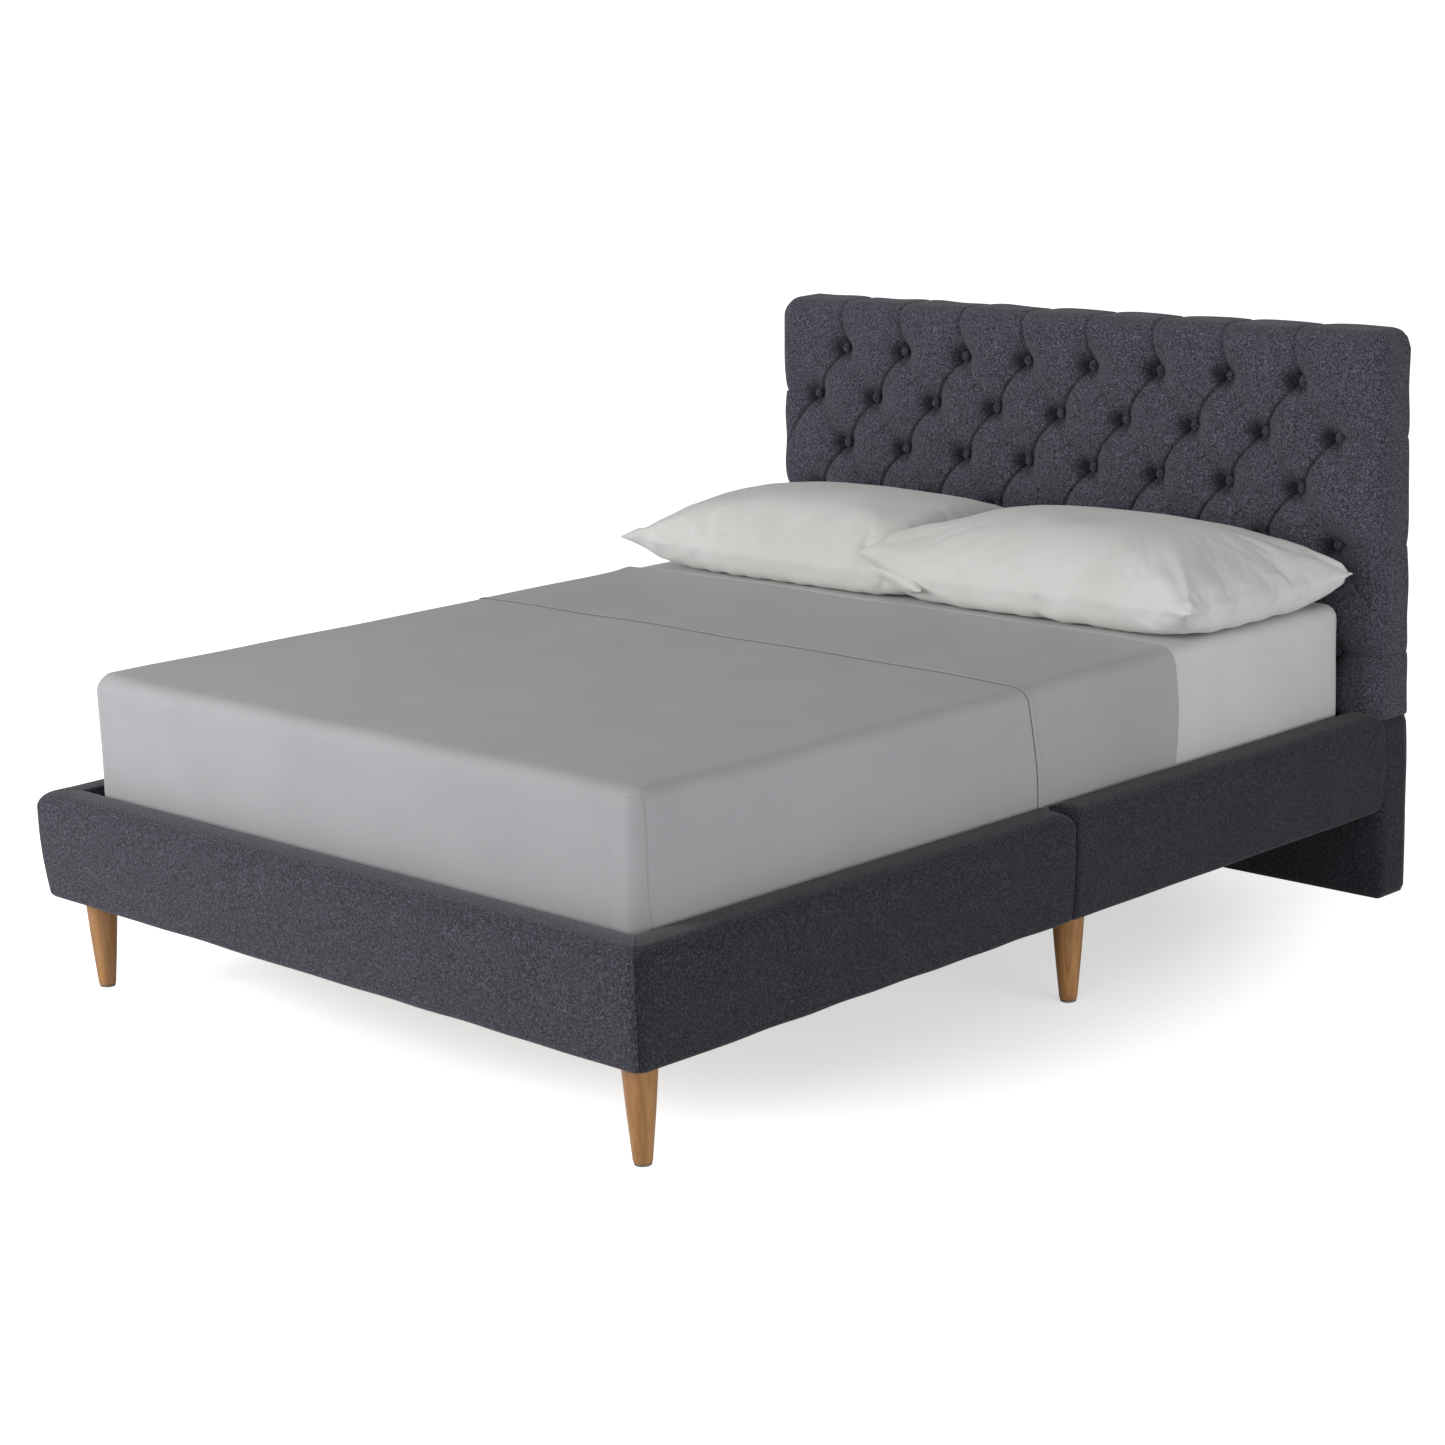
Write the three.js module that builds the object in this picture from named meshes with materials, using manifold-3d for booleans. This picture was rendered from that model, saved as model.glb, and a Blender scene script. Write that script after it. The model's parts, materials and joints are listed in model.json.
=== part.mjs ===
// An upholstered bed: a buttoned headboard, a padded slatted base in two halves
// on turned wooden legs, and its mattress, sheets and pillows.
// Millimetres. X runs across the bed, Y from the foot to the headboard, Z is up.
// The origin is on the floor, under the middle of the whole bed.
import * as THREE from 'three';
import * as BufferGeometryUtils from 'three/addons/utils/BufferGeometryUtils.js';
import Module from 'manifold-3d';

const wasm = await Module();
wasm.setup();

// ---- Sizes -------------------------------------------------------------

// Made-up mattress, with its sheets on
const mattressWidth = 1484;
const mattressLength = 1966;
const mattressHeight = 260;
const mattressCorner = 46;          // plan radius of its corners
const mattressEdge = 34;            // radius along its top and bottom edges
const sheetThickness = 1.5;
const turnBackLength = 578;         // mattress end to the head edge of the flat sheet
const tuckDepth = 6;                // sheets stop this far above the slats

// Room around the mattress
const sideGap = 8;
const footGap = 24;
const headGap = 9;

// Padded rails
const legHeight = 182;              // floor to the underside of the rails
const railHeight = 206;
const railThickness = 72;
const railTaper = 9;                // the outer face leans in by this much downwards
const railTopRound = 30;
const railBottomRound = 12;
const railInnerRound = 6;
const frontHalfLength = 1099;       // foot face to the split in the base
const splitGap = 2;

// Boards inside the rails
const boardThickness = 30;
const boardHeight = 180;
const boardLift = 6;                // upholstery under a board
const liningThickness = 4;          // fabric turned over the inside of a board
const liningDepth = 50;             // how far down the inside the fabric comes

// Slats and what carries them
const slatCount = 6;                // in each half
const slatWidth = 84;
const slatThickness = 18;
const slatClearance = 2;            // each end of a slat to the rail lining
const slatEndGap = 20;              // first and last slat to what closes their half
const slatTop = 350;                // height of the mattress platform
const ledgeWidth = 30;
const ledgeHeight = 32;
const crossbarThickness = 30;
const crossbarHeight = 110;
const beamWidth = 40;
const beamHeight = 60;
const hangerWall = 2;
const hangerLength = 35;
const hangerFlange = 18;            // each ear of a hanger's back plate

// Legs
const legFromSideBoard = 16;        // leg axis to the block's face on the side board
const legFromFootBoard = 14;        // the same on the foot board
const legFromCrossbar = 44.7;       // and behind the rear crossbar
const legTopRadius = 31;
const legBottomRadius = 16.5;
const legChamfer = 2;
const studRadius = 4;
const studLength = 40;
const glideRadius = 15;
const glideHeight = 4;
const blockSide = 90;
const blockBelowLedge = 50;         // top of a corner block to the slat ledge above it
const centreLegRadius = 15;
const centreFootRadius = 22;
const centreFootHeight = 8;
const centrePlateRadius = 30;
const centrePlateHeight = 4;

// Headboard
const headboardHeight = 1150;
const headboardThickness = 88;      // plain lower part, front to back
const headboardInset = 9;           // its side face behind the rails' widest line
const lowerCoverTop = 370;
const coverThickness = 8;
const panelThickness = 18;
const postWidth = 60;
const backClothThickness = 3;
const padCrown = 21;                // buttoned pad in front of the plain lower part
const padSideSwell = 4;
const padTopThickness = 32;
const padRound = 34;                // front edge of the pad
const padCorner = 42;               // its two top corners, seen from the front
const frameLift = 3;                // posts and panel above the floor

// Pillows
const pillowWidth = 800;
const pillowDepth = 510;
const pillowTop = 106;              // seam to the top of the crown
const pillowBottom = 74;            // seam to the flattened underside
const rightPillowX = 388;
const leftPillowX = -340;
const pillowBackGap = 58;           // back seam of a pillow to the mattress end

// Fasteners
const boltRadius = 4;
const boltHeadRadius = 9;
const boltHeadHeight = 6;
const joiningBoltX = 500;
const joiningBoltBelowTop = 57;     // bolt axis below the top of the crossbars
const headBoltBelowTop = 95;        // bolt axis below the top of the rear boards
const headBoltReach = 60;           // how far it goes into the end of a board

const fit = 0.3;                    // clearance between pieces that touch

// ---- Places worked out from the sizes ------------------------------------

const innerHalf = mattressWidth / 2 + sideGap;
const outerHalf = innerHalf + railThickness;
const overallLength = railThickness + footGap + mattressLength + headGap
  + padCrown + headboardThickness;
const footFace = -overallLength / 2;
const footInner = footFace + railThickness;
const mattressFoot = footInner + footGap;
const mattressHead = mattressFoot + mattressLength;
const mattressMiddle = (mattressFoot + mattressHead) / 2;
const padFront = mattressHead + headGap;
const headFront = padFront + padCrown;
const headBack = overallLength / 2;
const split = footFace + frontHalfLength;

const boardInner = liningThickness + fit;                  // from a rail's inner face
const boardOuter = boardInner + boardThickness;
const boardInnerX = innerHalf + boardInner;
const footBoardInnerY = footInner - boardInner;
const boardBottom = legHeight + boardLift;
const boardTop = boardBottom + boardHeight;
const ledgeTop = slatTop - slatThickness;
const bearing = ledgeTop - fit;                            // tops that carry the slats
const mattressTop = slatTop + mattressHeight;

const headHalf = outerHalf - headboardInset;
const panelHalf = headHalf - coverThickness - fit;
const panelFront = headFront + coverThickness + fit;
const panelBack = panelFront + panelThickness;
const postFront = panelBack + fit;
const clothFront = headBack - backClothThickness;
const postBack = clothFront - fit;
const frameTop = headboardHeight - padTopThickness - fit;

const frontCrossbarY = split - splitGap / 2 - crossbarThickness;
const rearCrossbarY = split + splitGap / 2;
const crossbarBottom = ledgeTop - crossbarHeight;

const footBlockY = footBoardInnerY + fit;
const midBlockY = rearCrossbarY + crossbarThickness + fit;
const blockHeight = ledgeTop - ledgeHeight - blockBelowLedge - legHeight;
const legX = boardInnerX - fit - legFromSideBoard;
const footLegY = footBlockY + legFromFootBoard;
const midLegY = midBlockY + legFromCrossbar;
const headBoltX = boardInnerX + boardThickness / 2;
const headBoltZ = boardTop - headBoltBelowTop;

// ---- Finishes ------------------------------------------------------------

function finish(color, roughness, metalness = 0) {
  return new THREE.MeshStandardMaterial({ color, roughness, metalness });
}

const charcoalWeave = finish(0x3a383e, 0.92);
const blackCloth = finish(0x1b1b1d, 0.95);
const honeyWood = finish(0xc29464, 0.45);
const pineWood = finish(0xd0b080, 0.7);
const birchSlat = finish(0xdcc49c, 0.6);
const panelWood = finish(0xa98a62, 0.85);
const zincSteel = finish(0xb4b6b8, 0.35, 1);
const blackSteel = finish(0x202123, 0.45, 0.6);
const greyPlastic = finish(0x8c8a88, 0.6);
const mattressTicking = finish(0xe9e6e0, 0.9);
const ivoryCotton = finish(0xe6e4de, 0.85);
const greySheet = finish(0x9b999b, 0.8);

// ---- Working with solids ---------------------------------------------------

// Positions only, with shared corners merged.
function bare(geometry) {
  const copy = new THREE.BufferGeometry();
  copy.setAttribute('position', geometry.getAttribute('position').clone());
  if (geometry.index) copy.setIndex(geometry.index.clone());
  return BufferGeometryUtils.mergeVertices(copy, 1e-3);
}

// The same surface with every face turned over.
function turnedOver(geometry) {
  const result = bare(geometry);
  const index = result.index.array;
  for (let i = 0; i < index.length; i += 3) {
    const second = index[i + 1];
    index[i + 1] = index[i + 2];
    index[i + 2] = second;
  }
  return result;
}

function mirroredX(geometry) {
  return turnedOver(bare(geometry).scale(-1, 1, 1));
}

// Lays an extrusion's own x, y and depth along three directions.
function laid(geometry, xTo, yTo, depthTo) {
  const basis = new THREE.Matrix4().makeBasis(xTo, yTo, depthTo);
  const result = bare(geometry).applyMatrix4(basis);
  return basis.determinant() < 0 ? turnedOver(result) : result;
}

function toSolid(geometry) {
  const plain = bare(geometry);
  return new wasm.Manifold(new wasm.Mesh({
    numProp: 3,
    vertProperties: Float32Array.from(plain.getAttribute('position').array),
    triVerts: Uint32Array.from(plain.index.array),
  }));
}

function fromSolid(solid) {
  const mesh = solid.getMesh();
  const geometry = new THREE.BufferGeometry();
  geometry.setAttribute('position', new THREE.BufferAttribute(mesh.vertProperties, 3));
  geometry.setIndex(new THREE.BufferAttribute(mesh.triVerts, 1));
  geometry.computeVertexNormals();
  return geometry;
}

function cut(geometry, ...tools) {
  let solid = toSolid(geometry);
  for (const tool of tools) solid = solid.subtract(toSolid(tool));
  return fromSolid(solid);
}

function joined(first, ...others) {
  let solid = toSolid(first);
  for (const other of others) solid = solid.add(toSolid(other));
  return fromSolid(solid);
}

// A box between two corners.
function span(x0, x1, y0, y1, z0, z1) {
  return new THREE.BoxGeometry(x1 - x0, y1 - y0, z1 - z0)
    .translate((x0 + x1) / 2, (y0 + y1) / 2, (z0 + z1) / 2);
}

// A round bar along Y.
function barAlongY(radius, y0, y1, x, z) {
  return new THREE.CylinderGeometry(radius, radius, y1 - y0, 16)
    .translate(0, (y0 + y1) / 2, 0)
    .translate(x, 0, z);
}

// A turned piece standing on Z, from [radius, height] pairs that start and end on the axis.
function turnedOnZ(profile, segments) {
  const points = profile.map(([radius, height]) => new THREE.Vector2(radius, height));
  return new THREE.LatheGeometry(points, segments).rotateX(Math.PI / 2);
}

const across = new THREE.Vector3(1, 0, 0);
const alongBed = new THREE.Vector3(0, 1, 0);
const upwards = new THREE.Vector3(0, 0, 1);

const bed = new THREE.Group();

function addPiece(parent, name, geometry, material, x = 0, y = 0, z = 0) {
  const mesh = new THREE.Mesh(geometry, material);
  mesh.name = name;
  mesh.position.set(x, y, z);
  parent.add(mesh);
}

// The left and right copies of a piece that is drawn on the right.
function addPair(parent, name, ending, geometry, material, x = 0, y = 0, z = 0) {
  addPiece(parent, `${name}_right${ending}`, geometry, material, x, y, z);
  addPiece(parent, `${name}_left${ending}`, mirroredX(geometry), material, -x, y, z);
}

// ---- Padded rails ------------------------------------------------------------

// Upholstery around a rail board: x is outwards from the rail's inner face, y is up.
function railSection() {
  const top = railHeight;
  const low = railBottomRound;
  const high = railHeight - railTopRound;
  const lowX = railThickness - railTaper;
  const cavityTop = boardLift + boardHeight + fit;
  const cavityBottom = boardLift - fit;
  const cavityOuter = boardOuter + fit;
  const section = new THREE.Shape();
  section.moveTo(liningThickness, 0);
  section.lineTo(lowX - low, 0);
  section.absarc(lowX - low, low, low, -Math.PI / 2, 0, false);
  section.lineTo(railThickness, high);
  section.absarc(railThickness - railTopRound, high, railTopRound, 0, Math.PI / 2, false);
  section.lineTo(railInnerRound, top);
  section.absarc(railInnerRound, top - railInnerRound, railInnerRound, Math.PI / 2, Math.PI, false);
  section.lineTo(0, top - liningDepth);
  section.lineTo(liningThickness, top - liningDepth);
  section.lineTo(liningThickness, cavityTop);
  section.lineTo(cavityOuter, cavityTop);
  section.lineTo(cavityOuter, cavityBottom);
  section.lineTo(liningThickness, cavityBottom);
  return section;
}

// The rail section drawn out to a length; an end is square, or mitred at 45 degrees
// so that the corner is longer on the outside.
function railSleeve(length, mitreStart, mitreEnd) {
  const sleeve = bare(new THREE.ExtrudeGeometry(railSection(), {
    depth: length, bevelEnabled: false, curveSegments: 5,
  }));
  const position = sleeve.getAttribute('position');
  for (let i = 0; i < position.count; i += 1) {
    const outwards = position.getX(i);
    const along = position.getZ(i);
    if (mitreStart && along < length / 2) position.setZ(i, along - outwards);
    if (mitreEnd && along > length / 2) position.setZ(i, along + outwards);
  }
  return sleeve;
}

function footRail(parent) {
  const sleeveLength = 2 * (innerHalf - fit / 2);
  const sleeve = laid(railSleeve(sleeveLength, true, true), alongBed.clone().negate(), upwards, across);
  addPiece(parent, 'foot_rail_padding', sleeve, charcoalWeave, -sleeveLength / 2, footInner, legHeight);
  const boardLength = 2 * (innerHalf + boardOuter);
  addPiece(parent, 'foot_rail_board', new THREE.BoxGeometry(boardLength, boardThickness, boardHeight),
    pineWood, 0, footInner - (boardInner + boardOuter) / 2, boardBottom + boardHeight / 2);
}

function frontSideRails(parent) {
  const start = footInner + fit / 2;
  const end = split - splitGap / 2;
  const sleeve = laid(railSleeve(end - start, true, false), across, upwards, alongBed);
  addPair(parent, 'side_rail_front', '_padding', sleeve, charcoalWeave, innerHalf, start, legHeight);
  const boardStart = footBoardInnerY + fit;
  addPair(parent, 'side_rail_front', '_board',
    new THREE.BoxGeometry(boardThickness, end - boardStart, boardHeight), pineWood,
    headBoltX, (boardStart + end) / 2, boardBottom + boardHeight / 2);
}

function rearSideRails(parent) {
  const start = split + splitGap / 2;
  const end = headFront - fit;
  const full = laid(railSleeve(end - start, false, false), across, upwards, alongBed)
    .translate(innerHalf, start, legHeight);
  const padRelief = span(0, 2 * outerHalf, padFront - fit, headBack, lowerCoverTop, headboardHeight);
  addPair(parent, 'side_rail_rear', '_padding', cut(full, padRelief), charcoalWeave);
  const board = span(boardInnerX, boardInnerX + boardThickness, start, end, boardBottom, boardTop);
  const boltHole = barAlongY(boltRadius + fit, end - headBoltReach - fit, end + 1, headBoltX, headBoltZ);
  addPair(parent, 'side_rail_rear', '_board', cut(board, boltHole), pineWood);
}

// ---- Crossbars, ledges, centre beam and slats ----------------------------------

// A crossbar fits between the side boards and is notched for the centre beam.
function crossbar() {
  const half = boardInnerX - fit;
  const height = crossbarHeight - fit;
  const notch = beamWidth / 2 + fit;
  const notchFloor = height - beamHeight - fit;
  const outline = new THREE.Shape();
  outline.moveTo(-half, 0);
  outline.lineTo(half, 0);
  outline.lineTo(half, height);
  outline.lineTo(notch, height);
  outline.lineTo(notch, notchFloor);
  outline.lineTo(-notch, notchFloor);
  outline.lineTo(-notch, height);
  outline.lineTo(-half, height);
  for (const side of [-1, 1]) {
    const hole = new THREE.Path();
    const holeY = height - joiningBoltBelowTop;
    hole.absarc(side * joiningBoltX, holeY, boltRadius + fit, 0, Math.PI * 2, true);
    outline.holes.push(hole);
  }
  const bar = new THREE.ExtrudeGeometry(outline, {
    depth: crossbarThickness, bevelEnabled: false, curveSegments: 8,
  });
  return laid(bar, across, upwards, alongBed);
}

function crossbars(parent) {
  addPiece(parent, 'crossbar_front', crossbar(), pineWood, 0, frontCrossbarY, crossbarBottom);
  addPiece(parent, 'crossbar_rear', crossbar(), pineWood, 0, rearCrossbarY, crossbarBottom);
  const grip = 2 * crossbarThickness + splitGap + 2 * fit;
  const bolt = turnedOnZ([
    [0, 0], [boltHeadRadius, 0], [boltHeadRadius, boltHeadHeight], [boltRadius, boltHeadHeight],
    [boltRadius, boltHeadHeight + grip], [boltHeadRadius, boltHeadHeight + grip],
    [boltHeadRadius, grip + 2 * boltHeadHeight], [0, grip + 2 * boltHeadHeight],
  ], 16).rotateX(-Math.PI / 2);
  const boltY = frontCrossbarY - fit - boltHeadHeight;
  const boltZ = ledgeTop - fit - joiningBoltBelowTop;
  addPair(parent, 'joining_bolt', '', bolt, zincSteel, joiningBoltX, boltY, boltZ);
}

function ledges(parent) {
  const x0 = boardInnerX - fit - ledgeWidth;
  const x1 = boardInnerX - fit;
  const front = span(x0, x1, footBoardInnerY + fit, frontCrossbarY - fit, ledgeTop - ledgeHeight, bearing);
  addPair(parent, 'slat_ledge_front', '', front, pineWood);
  const rearStart = rearCrossbarY + crossbarThickness + fit;
  const rear = span(x0, x1, rearStart, headFront - fit, ledgeTop - ledgeHeight, bearing);
  addPair(parent, 'slat_ledge_rear', '', rear, pineWood);
}

// A steel seat for one end of the centre beam, with its back plate at y = 0.
function beamHanger() {
  const inner = beamWidth / 2 + fit;
  const outer = inner + hangerWall;
  const height = beamHeight * 0.7;
  const channel = new THREE.Shape();
  channel.moveTo(-outer, 0);
  channel.lineTo(outer, 0);
  channel.lineTo(outer, height);
  channel.lineTo(inner, height);
  channel.lineTo(inner, hangerWall);
  channel.lineTo(-inner, hangerWall);
  channel.lineTo(-inner, height);
  channel.lineTo(-outer, height);
  const seat = laid(new THREE.ExtrudeGeometry(channel, { depth: hangerLength, bevelEnabled: false }),
    across, upwards, alongBed);
  const plateHalf = outer + hangerFlange;
  return joined(seat, span(-plateHalf, plateHalf, 0, hangerWall, 0, height));
}

function centreBeam(parent) {
  const hangerZ = bearing - beamHeight - fit - hangerWall;
  const footHangerY = footBoardInnerY + fit;
  const headHangerY = headFront - fit;
  addPiece(parent, 'beam_hanger_foot', beamHanger(), zincSteel, 0, footHangerY, hangerZ);
  const rearHanger = beamHanger().rotateZ(Math.PI);
  addPiece(parent, 'beam_hanger_head', rearHanger, zincSteel, 0, headHangerY, hangerZ);
  const start = footHangerY + hangerWall + fit;
  const end = headHangerY - hangerWall - fit;
  addPiece(parent, 'centre_beam', new THREE.BoxGeometry(beamWidth, end - start, beamHeight), pineWood,
    0, (start + end) / 2, bearing - beamHeight / 2);
}

// Slats from one Y to another, the first and last a set gap from each.
function slats(parent, firstNumber, from, to) {
  const half = innerHalf - slatClearance;
  const first = from + slatEndGap + slatWidth / 2;
  const last = to - slatEndGap - slatWidth / 2;
  for (let i = 0; i < slatCount; i += 1) {
    const number = String(firstNumber + i).padStart(2, '0');
    const y = first + (last - first) * i / (slatCount - 1);
    const slat = new THREE.BoxGeometry(2 * half, slatWidth, slatThickness);
    addPiece(parent, `slat_${number}`, slat, birchSlat, 0, y, slatTop - slatThickness / 2);
  }
}

// ---- Legs --------------------------------------------------------------------

// A turned leg with the threaded stud that is fixed in its top.
function turnedLeg() {
  const top = legHeight - fit;
  return turnedOnZ([
    [0, glideHeight], [legBottomRadius - legChamfer, glideHeight],
    [legBottomRadius, glideHeight + legChamfer], [legTopRadius, top],
    [studRadius, top], [studRadius, top + studLength], [0, top + studLength],
  ], 24);
}

function legGlide() {
  const top = glideHeight - fit;
  return turnedOnZ([[0, 0], [glideRadius - 1, 0], [glideRadius, 1], [glideRadius, top], [0, top]], 20);
}

// A corner block with the hole for a leg's stud at the origin.
function cornerBlock(x0, x1, y0, y1) {
  const outline = new THREE.Shape();
  outline.moveTo(x0, y0);
  outline.lineTo(x1, y0);
  outline.lineTo(x1, y1);
  outline.lineTo(x0, y1);
  const hole = new THREE.Path();
  hole.absarc(0, 0, studRadius + fit, 0, Math.PI * 2, true);
  outline.holes.push(hole);
  return new THREE.ExtrudeGeometry(outline, {
    depth: blockHeight, bevelEnabled: false, curveSegments: 8,
  });
}

function legSet(parent, name, y, blockStart) {
  addPair(parent, `leg_${name}`, '', turnedLeg(), honeyWood, legX, y, 0);
  addPair(parent, `leg_glide_${name}`, '', legGlide(), greyPlastic, legX, y, 0);
  const blockEnd = legFromSideBoard;
  const block = cornerBlock(blockEnd - blockSide, blockEnd, blockStart - y, blockStart - y + blockSide);
  addPair(parent, `corner_block_${name}`, '', block, pineWood, legX, y, legHeight);
}

function centreLeg(parent) {
  const top = crossbarBottom - fit;
  const leg = turnedOnZ([
    [0, 0], [centreFootRadius, 0], [centreFootRadius, centreFootHeight],
    [centreLegRadius, centreFootHeight], [centreLegRadius, top - centrePlateHeight],
    [centrePlateRadius, top - centrePlateHeight], [centrePlateRadius, top], [0, top],
  ], 20);
  addPiece(parent, 'centre_leg', leg, blackSteel, 0, rearCrossbarY + crossbarThickness / 2, 0);
}

// ---- Headboard -----------------------------------------------------------------

function headBoltHole() {
  return barAlongY(boltRadius + fit, headFront - 1, postBack + 1, headBoltX, headBoltZ);
}

function headboardFrame(parent) {
  const post = span(panelHalf - postWidth, panelHalf, postFront, postBack, frameLift, frameTop);
  const counterbore = barAlongY(boltHeadRadius + fit, postBack - boltHeadHeight - fit, postBack + 1,
    headBoltX, headBoltZ);
  addPair(parent, 'headboard_post', '', cut(post, headBoltHole(), counterbore), pineWood);
  const panel = span(-panelHalf, panelHalf, panelFront, panelBack, frameLift, frameTop);
  addPiece(parent, 'headboard_panel', cut(panel, headBoltHole(), mirroredX(headBoltHole())), panelWood);
}

function headBolts(parent) {
  const tip = headFront - fit - headBoltReach;
  const shank = barAlongY(boltRadius, tip, postBack - boltHeadHeight, headBoltX, headBoltZ);
  const head = barAlongY(boltHeadRadius, postBack - boltHeadHeight, postBack, headBoltX, headBoltZ);
  addPair(parent, 'headboard_bolt', '', joined(shank, head), zincSteel);
}

// The plain cover wraps the front and both sides down to the floor.
function lowerCover(parent) {
  const inner = headHalf - coverThickness;
  const outline = new THREE.Shape();
  outline.moveTo(-headHalf, headFront);
  outline.lineTo(headHalf, headFront);
  outline.lineTo(headHalf, headBack);
  outline.lineTo(inner, headBack);
  outline.lineTo(inner, headFront + coverThickness);
  outline.lineTo(-inner, headFront + coverThickness);
  outline.lineTo(-inner, headBack);
  outline.lineTo(-headHalf, headBack);
  const cover = new THREE.ExtrudeGeometry(outline, { depth: lowerCoverTop, bevelEnabled: false });
  const drilled = cut(cover, headBoltHole(), mirroredX(headBoltHole()));
  addPiece(parent, 'headboard_lower_cover', drilled, charcoalWeave);
}

// The buttoned pad: a rounded slab over the front that wraps the top and both sides.
function buttonedPad(parent) {
  const half = headHalf + padSideSwell;
  const bottom = lowerCoverTop + fit;
  const below = padRound + padCorner;              // trimmed off, so the bottom edge is square
  const outline = new THREE.Shape();
  outline.moveTo(-half, bottom - below);
  outline.lineTo(half, bottom - below);
  outline.lineTo(half, headboardHeight - padCorner);
  outline.absarc(half - padCorner, headboardHeight - padCorner, padCorner, 0, Math.PI / 2, false);
  outline.absarc(padCorner - half, headboardHeight - padCorner, padCorner, Math.PI / 2, Math.PI, false);
  const slab = laid(new THREE.ExtrudeGeometry(outline, {
    depth: headBack - padFront, curveSegments: 5, bevelEnabled: true,
    bevelThickness: padRound, bevelSize: padRound, bevelOffset: -padRound, bevelSegments: 4,
  }), across, upwards, alongBed).translate(0, padFront + padRound, 0);
  const far = 2 * half;
  const trimBelow = span(-far, far, padFront - 1, headBack + far, bottom - 2 * below, bottom);
  const trimBehind = span(-far, far, headBack - fit, headBack + far, bottom - below, headboardHeight + 1);
  const inner = headHalf - coverThickness;
  const hollow = span(-inner, inner, panelFront - fit, headBack + 1, bottom - 1, frameTop + fit);
  const pad = cut(slab, trimBelow, trimBehind, hollow);
  addPiece(parent, 'headboard_pad', pad, charcoalWeave);
}

function backCloth(parent) {
  const half = headHalf - coverThickness - fit;
  const cloth = span(-half, half, clothFront, headBack, frameLift, frameTop);
  addPiece(parent, 'headboard_back_cloth', cloth, blackCloth);
}

// ---- Mattress, sheets and pillows ------------------------------------------------

// A block with rounded corners in plan and rounded top and bottom edges,
// standing on its own origin, shrunk by a margin on its sides, ends and top.
function softBlock(margin, height) {
  const halfX = mattressWidth / 2 - margin;
  const halfY = mattressLength / 2 - margin;
  const corner = mattressCorner - margin;
  const edge = mattressEdge - margin;
  const outline = new THREE.Shape();
  outline.absarc(halfX - corner, halfY - corner, corner, 0, Math.PI / 2, false);
  outline.absarc(corner - halfX, halfY - corner, corner, Math.PI / 2, Math.PI, false);
  outline.absarc(corner - halfX, corner - halfY, corner, Math.PI, Math.PI * 1.5, false);
  outline.absarc(halfX - corner, corner - halfY, corner, Math.PI * 1.5, Math.PI * 2, false);
  return new THREE.ExtrudeGeometry(outline, {
    depth: height - margin - 2 * edge, curveSegments: 4, bevelEnabled: true,
    bevelThickness: edge, bevelSize: edge, bevelOffset: -edge, bevelSegments: 3,
  }).translate(0, 0, edge);
}

// A sheet over the mattress: the space between two soft blocks, open underneath.
function sheetShell(margin, headTrim) {
  const halfY = mattressLength / 2;
  const wide = mattressWidth;
  const under = span(-wide, wide, -wide, wide, -1, tuckDepth);
  const tools = [softBlock(margin + sheetThickness, mattressHeight), under];
  if (headTrim > 0) tools.push(span(-wide, wide, halfY - headTrim, wide, -1, mattressHeight + 1));
  return cut(softBlock(margin, mattressHeight), ...tools);
}

function mattressSet(parent) {
  const layer = sheetThickness + fit;
  const place = [0, mattressMiddle, slatTop + fit];
  addPiece(parent, 'flat_sheet', sheetShell(0, turnBackLength), greySheet, ...place);
  addPiece(parent, 'fitted_sheet', sheetShell(layer, 0), ivoryCotton, ...place);
  addPiece(parent, 'mattress', softBlock(2 * layer, mattressHeight), mattressTicking, ...place);
}

// Half-width of the pillow outline towards an angle, as a share of a box corner's reach.
function outlineReach(cosine, sine) {
  const squareness = 5;
  return (Math.abs(cosine) ** squareness + Math.abs(sine) ** squareness) ** (-1 / squareness);
}

// A crowned pillow on its seam plane, flattened underneath, grown all round by a margin.
function pillow(margin) {
  const shape = bare(new THREE.SphereGeometry(1, 32, 12).rotateX(Math.PI / 2));
  const position = shape.getAttribute('position');
  for (let i = 0; i < position.count; i += 1) {
    const x = position.getX(i);
    const y = position.getY(i);
    const z = position.getZ(i);
    const flat = Math.hypot(x, y) || 1;
    const reach = outlineReach(x / flat, y / flat);
    const height = z > 0 ? z * pillowTop : Math.max(z * 1.25, -1) * pillowBottom;
    position.setXYZ(i, x * reach * (pillowWidth / 2 + margin), y * reach * (pillowDepth / 2 + margin),
      height + Math.sign(height) * margin);
  }
  return shape;
}

// The outline of a pillow's seam, drawn upwards from its seam plane.
function spaceAbovePillow(margin) {
  const outline = new THREE.Shape();
  const steps = 32;
  for (let i = 0; i < steps; i += 1) {
    const angle = Math.PI * 2 * i / steps;
    const reach = outlineReach(Math.cos(angle), Math.sin(angle));
    const x = Math.cos(angle) * reach * (pillowWidth / 2 + margin);
    const y = Math.sin(angle) * reach * (pillowDepth / 2 + margin);
    if (i === 0) outline.moveTo(x, y);
    else outline.lineTo(x, y);
  }
  return new THREE.ExtrudeGeometry(outline, { depth: 2 * pillowTop, bevelEnabled: false });
}

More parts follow.
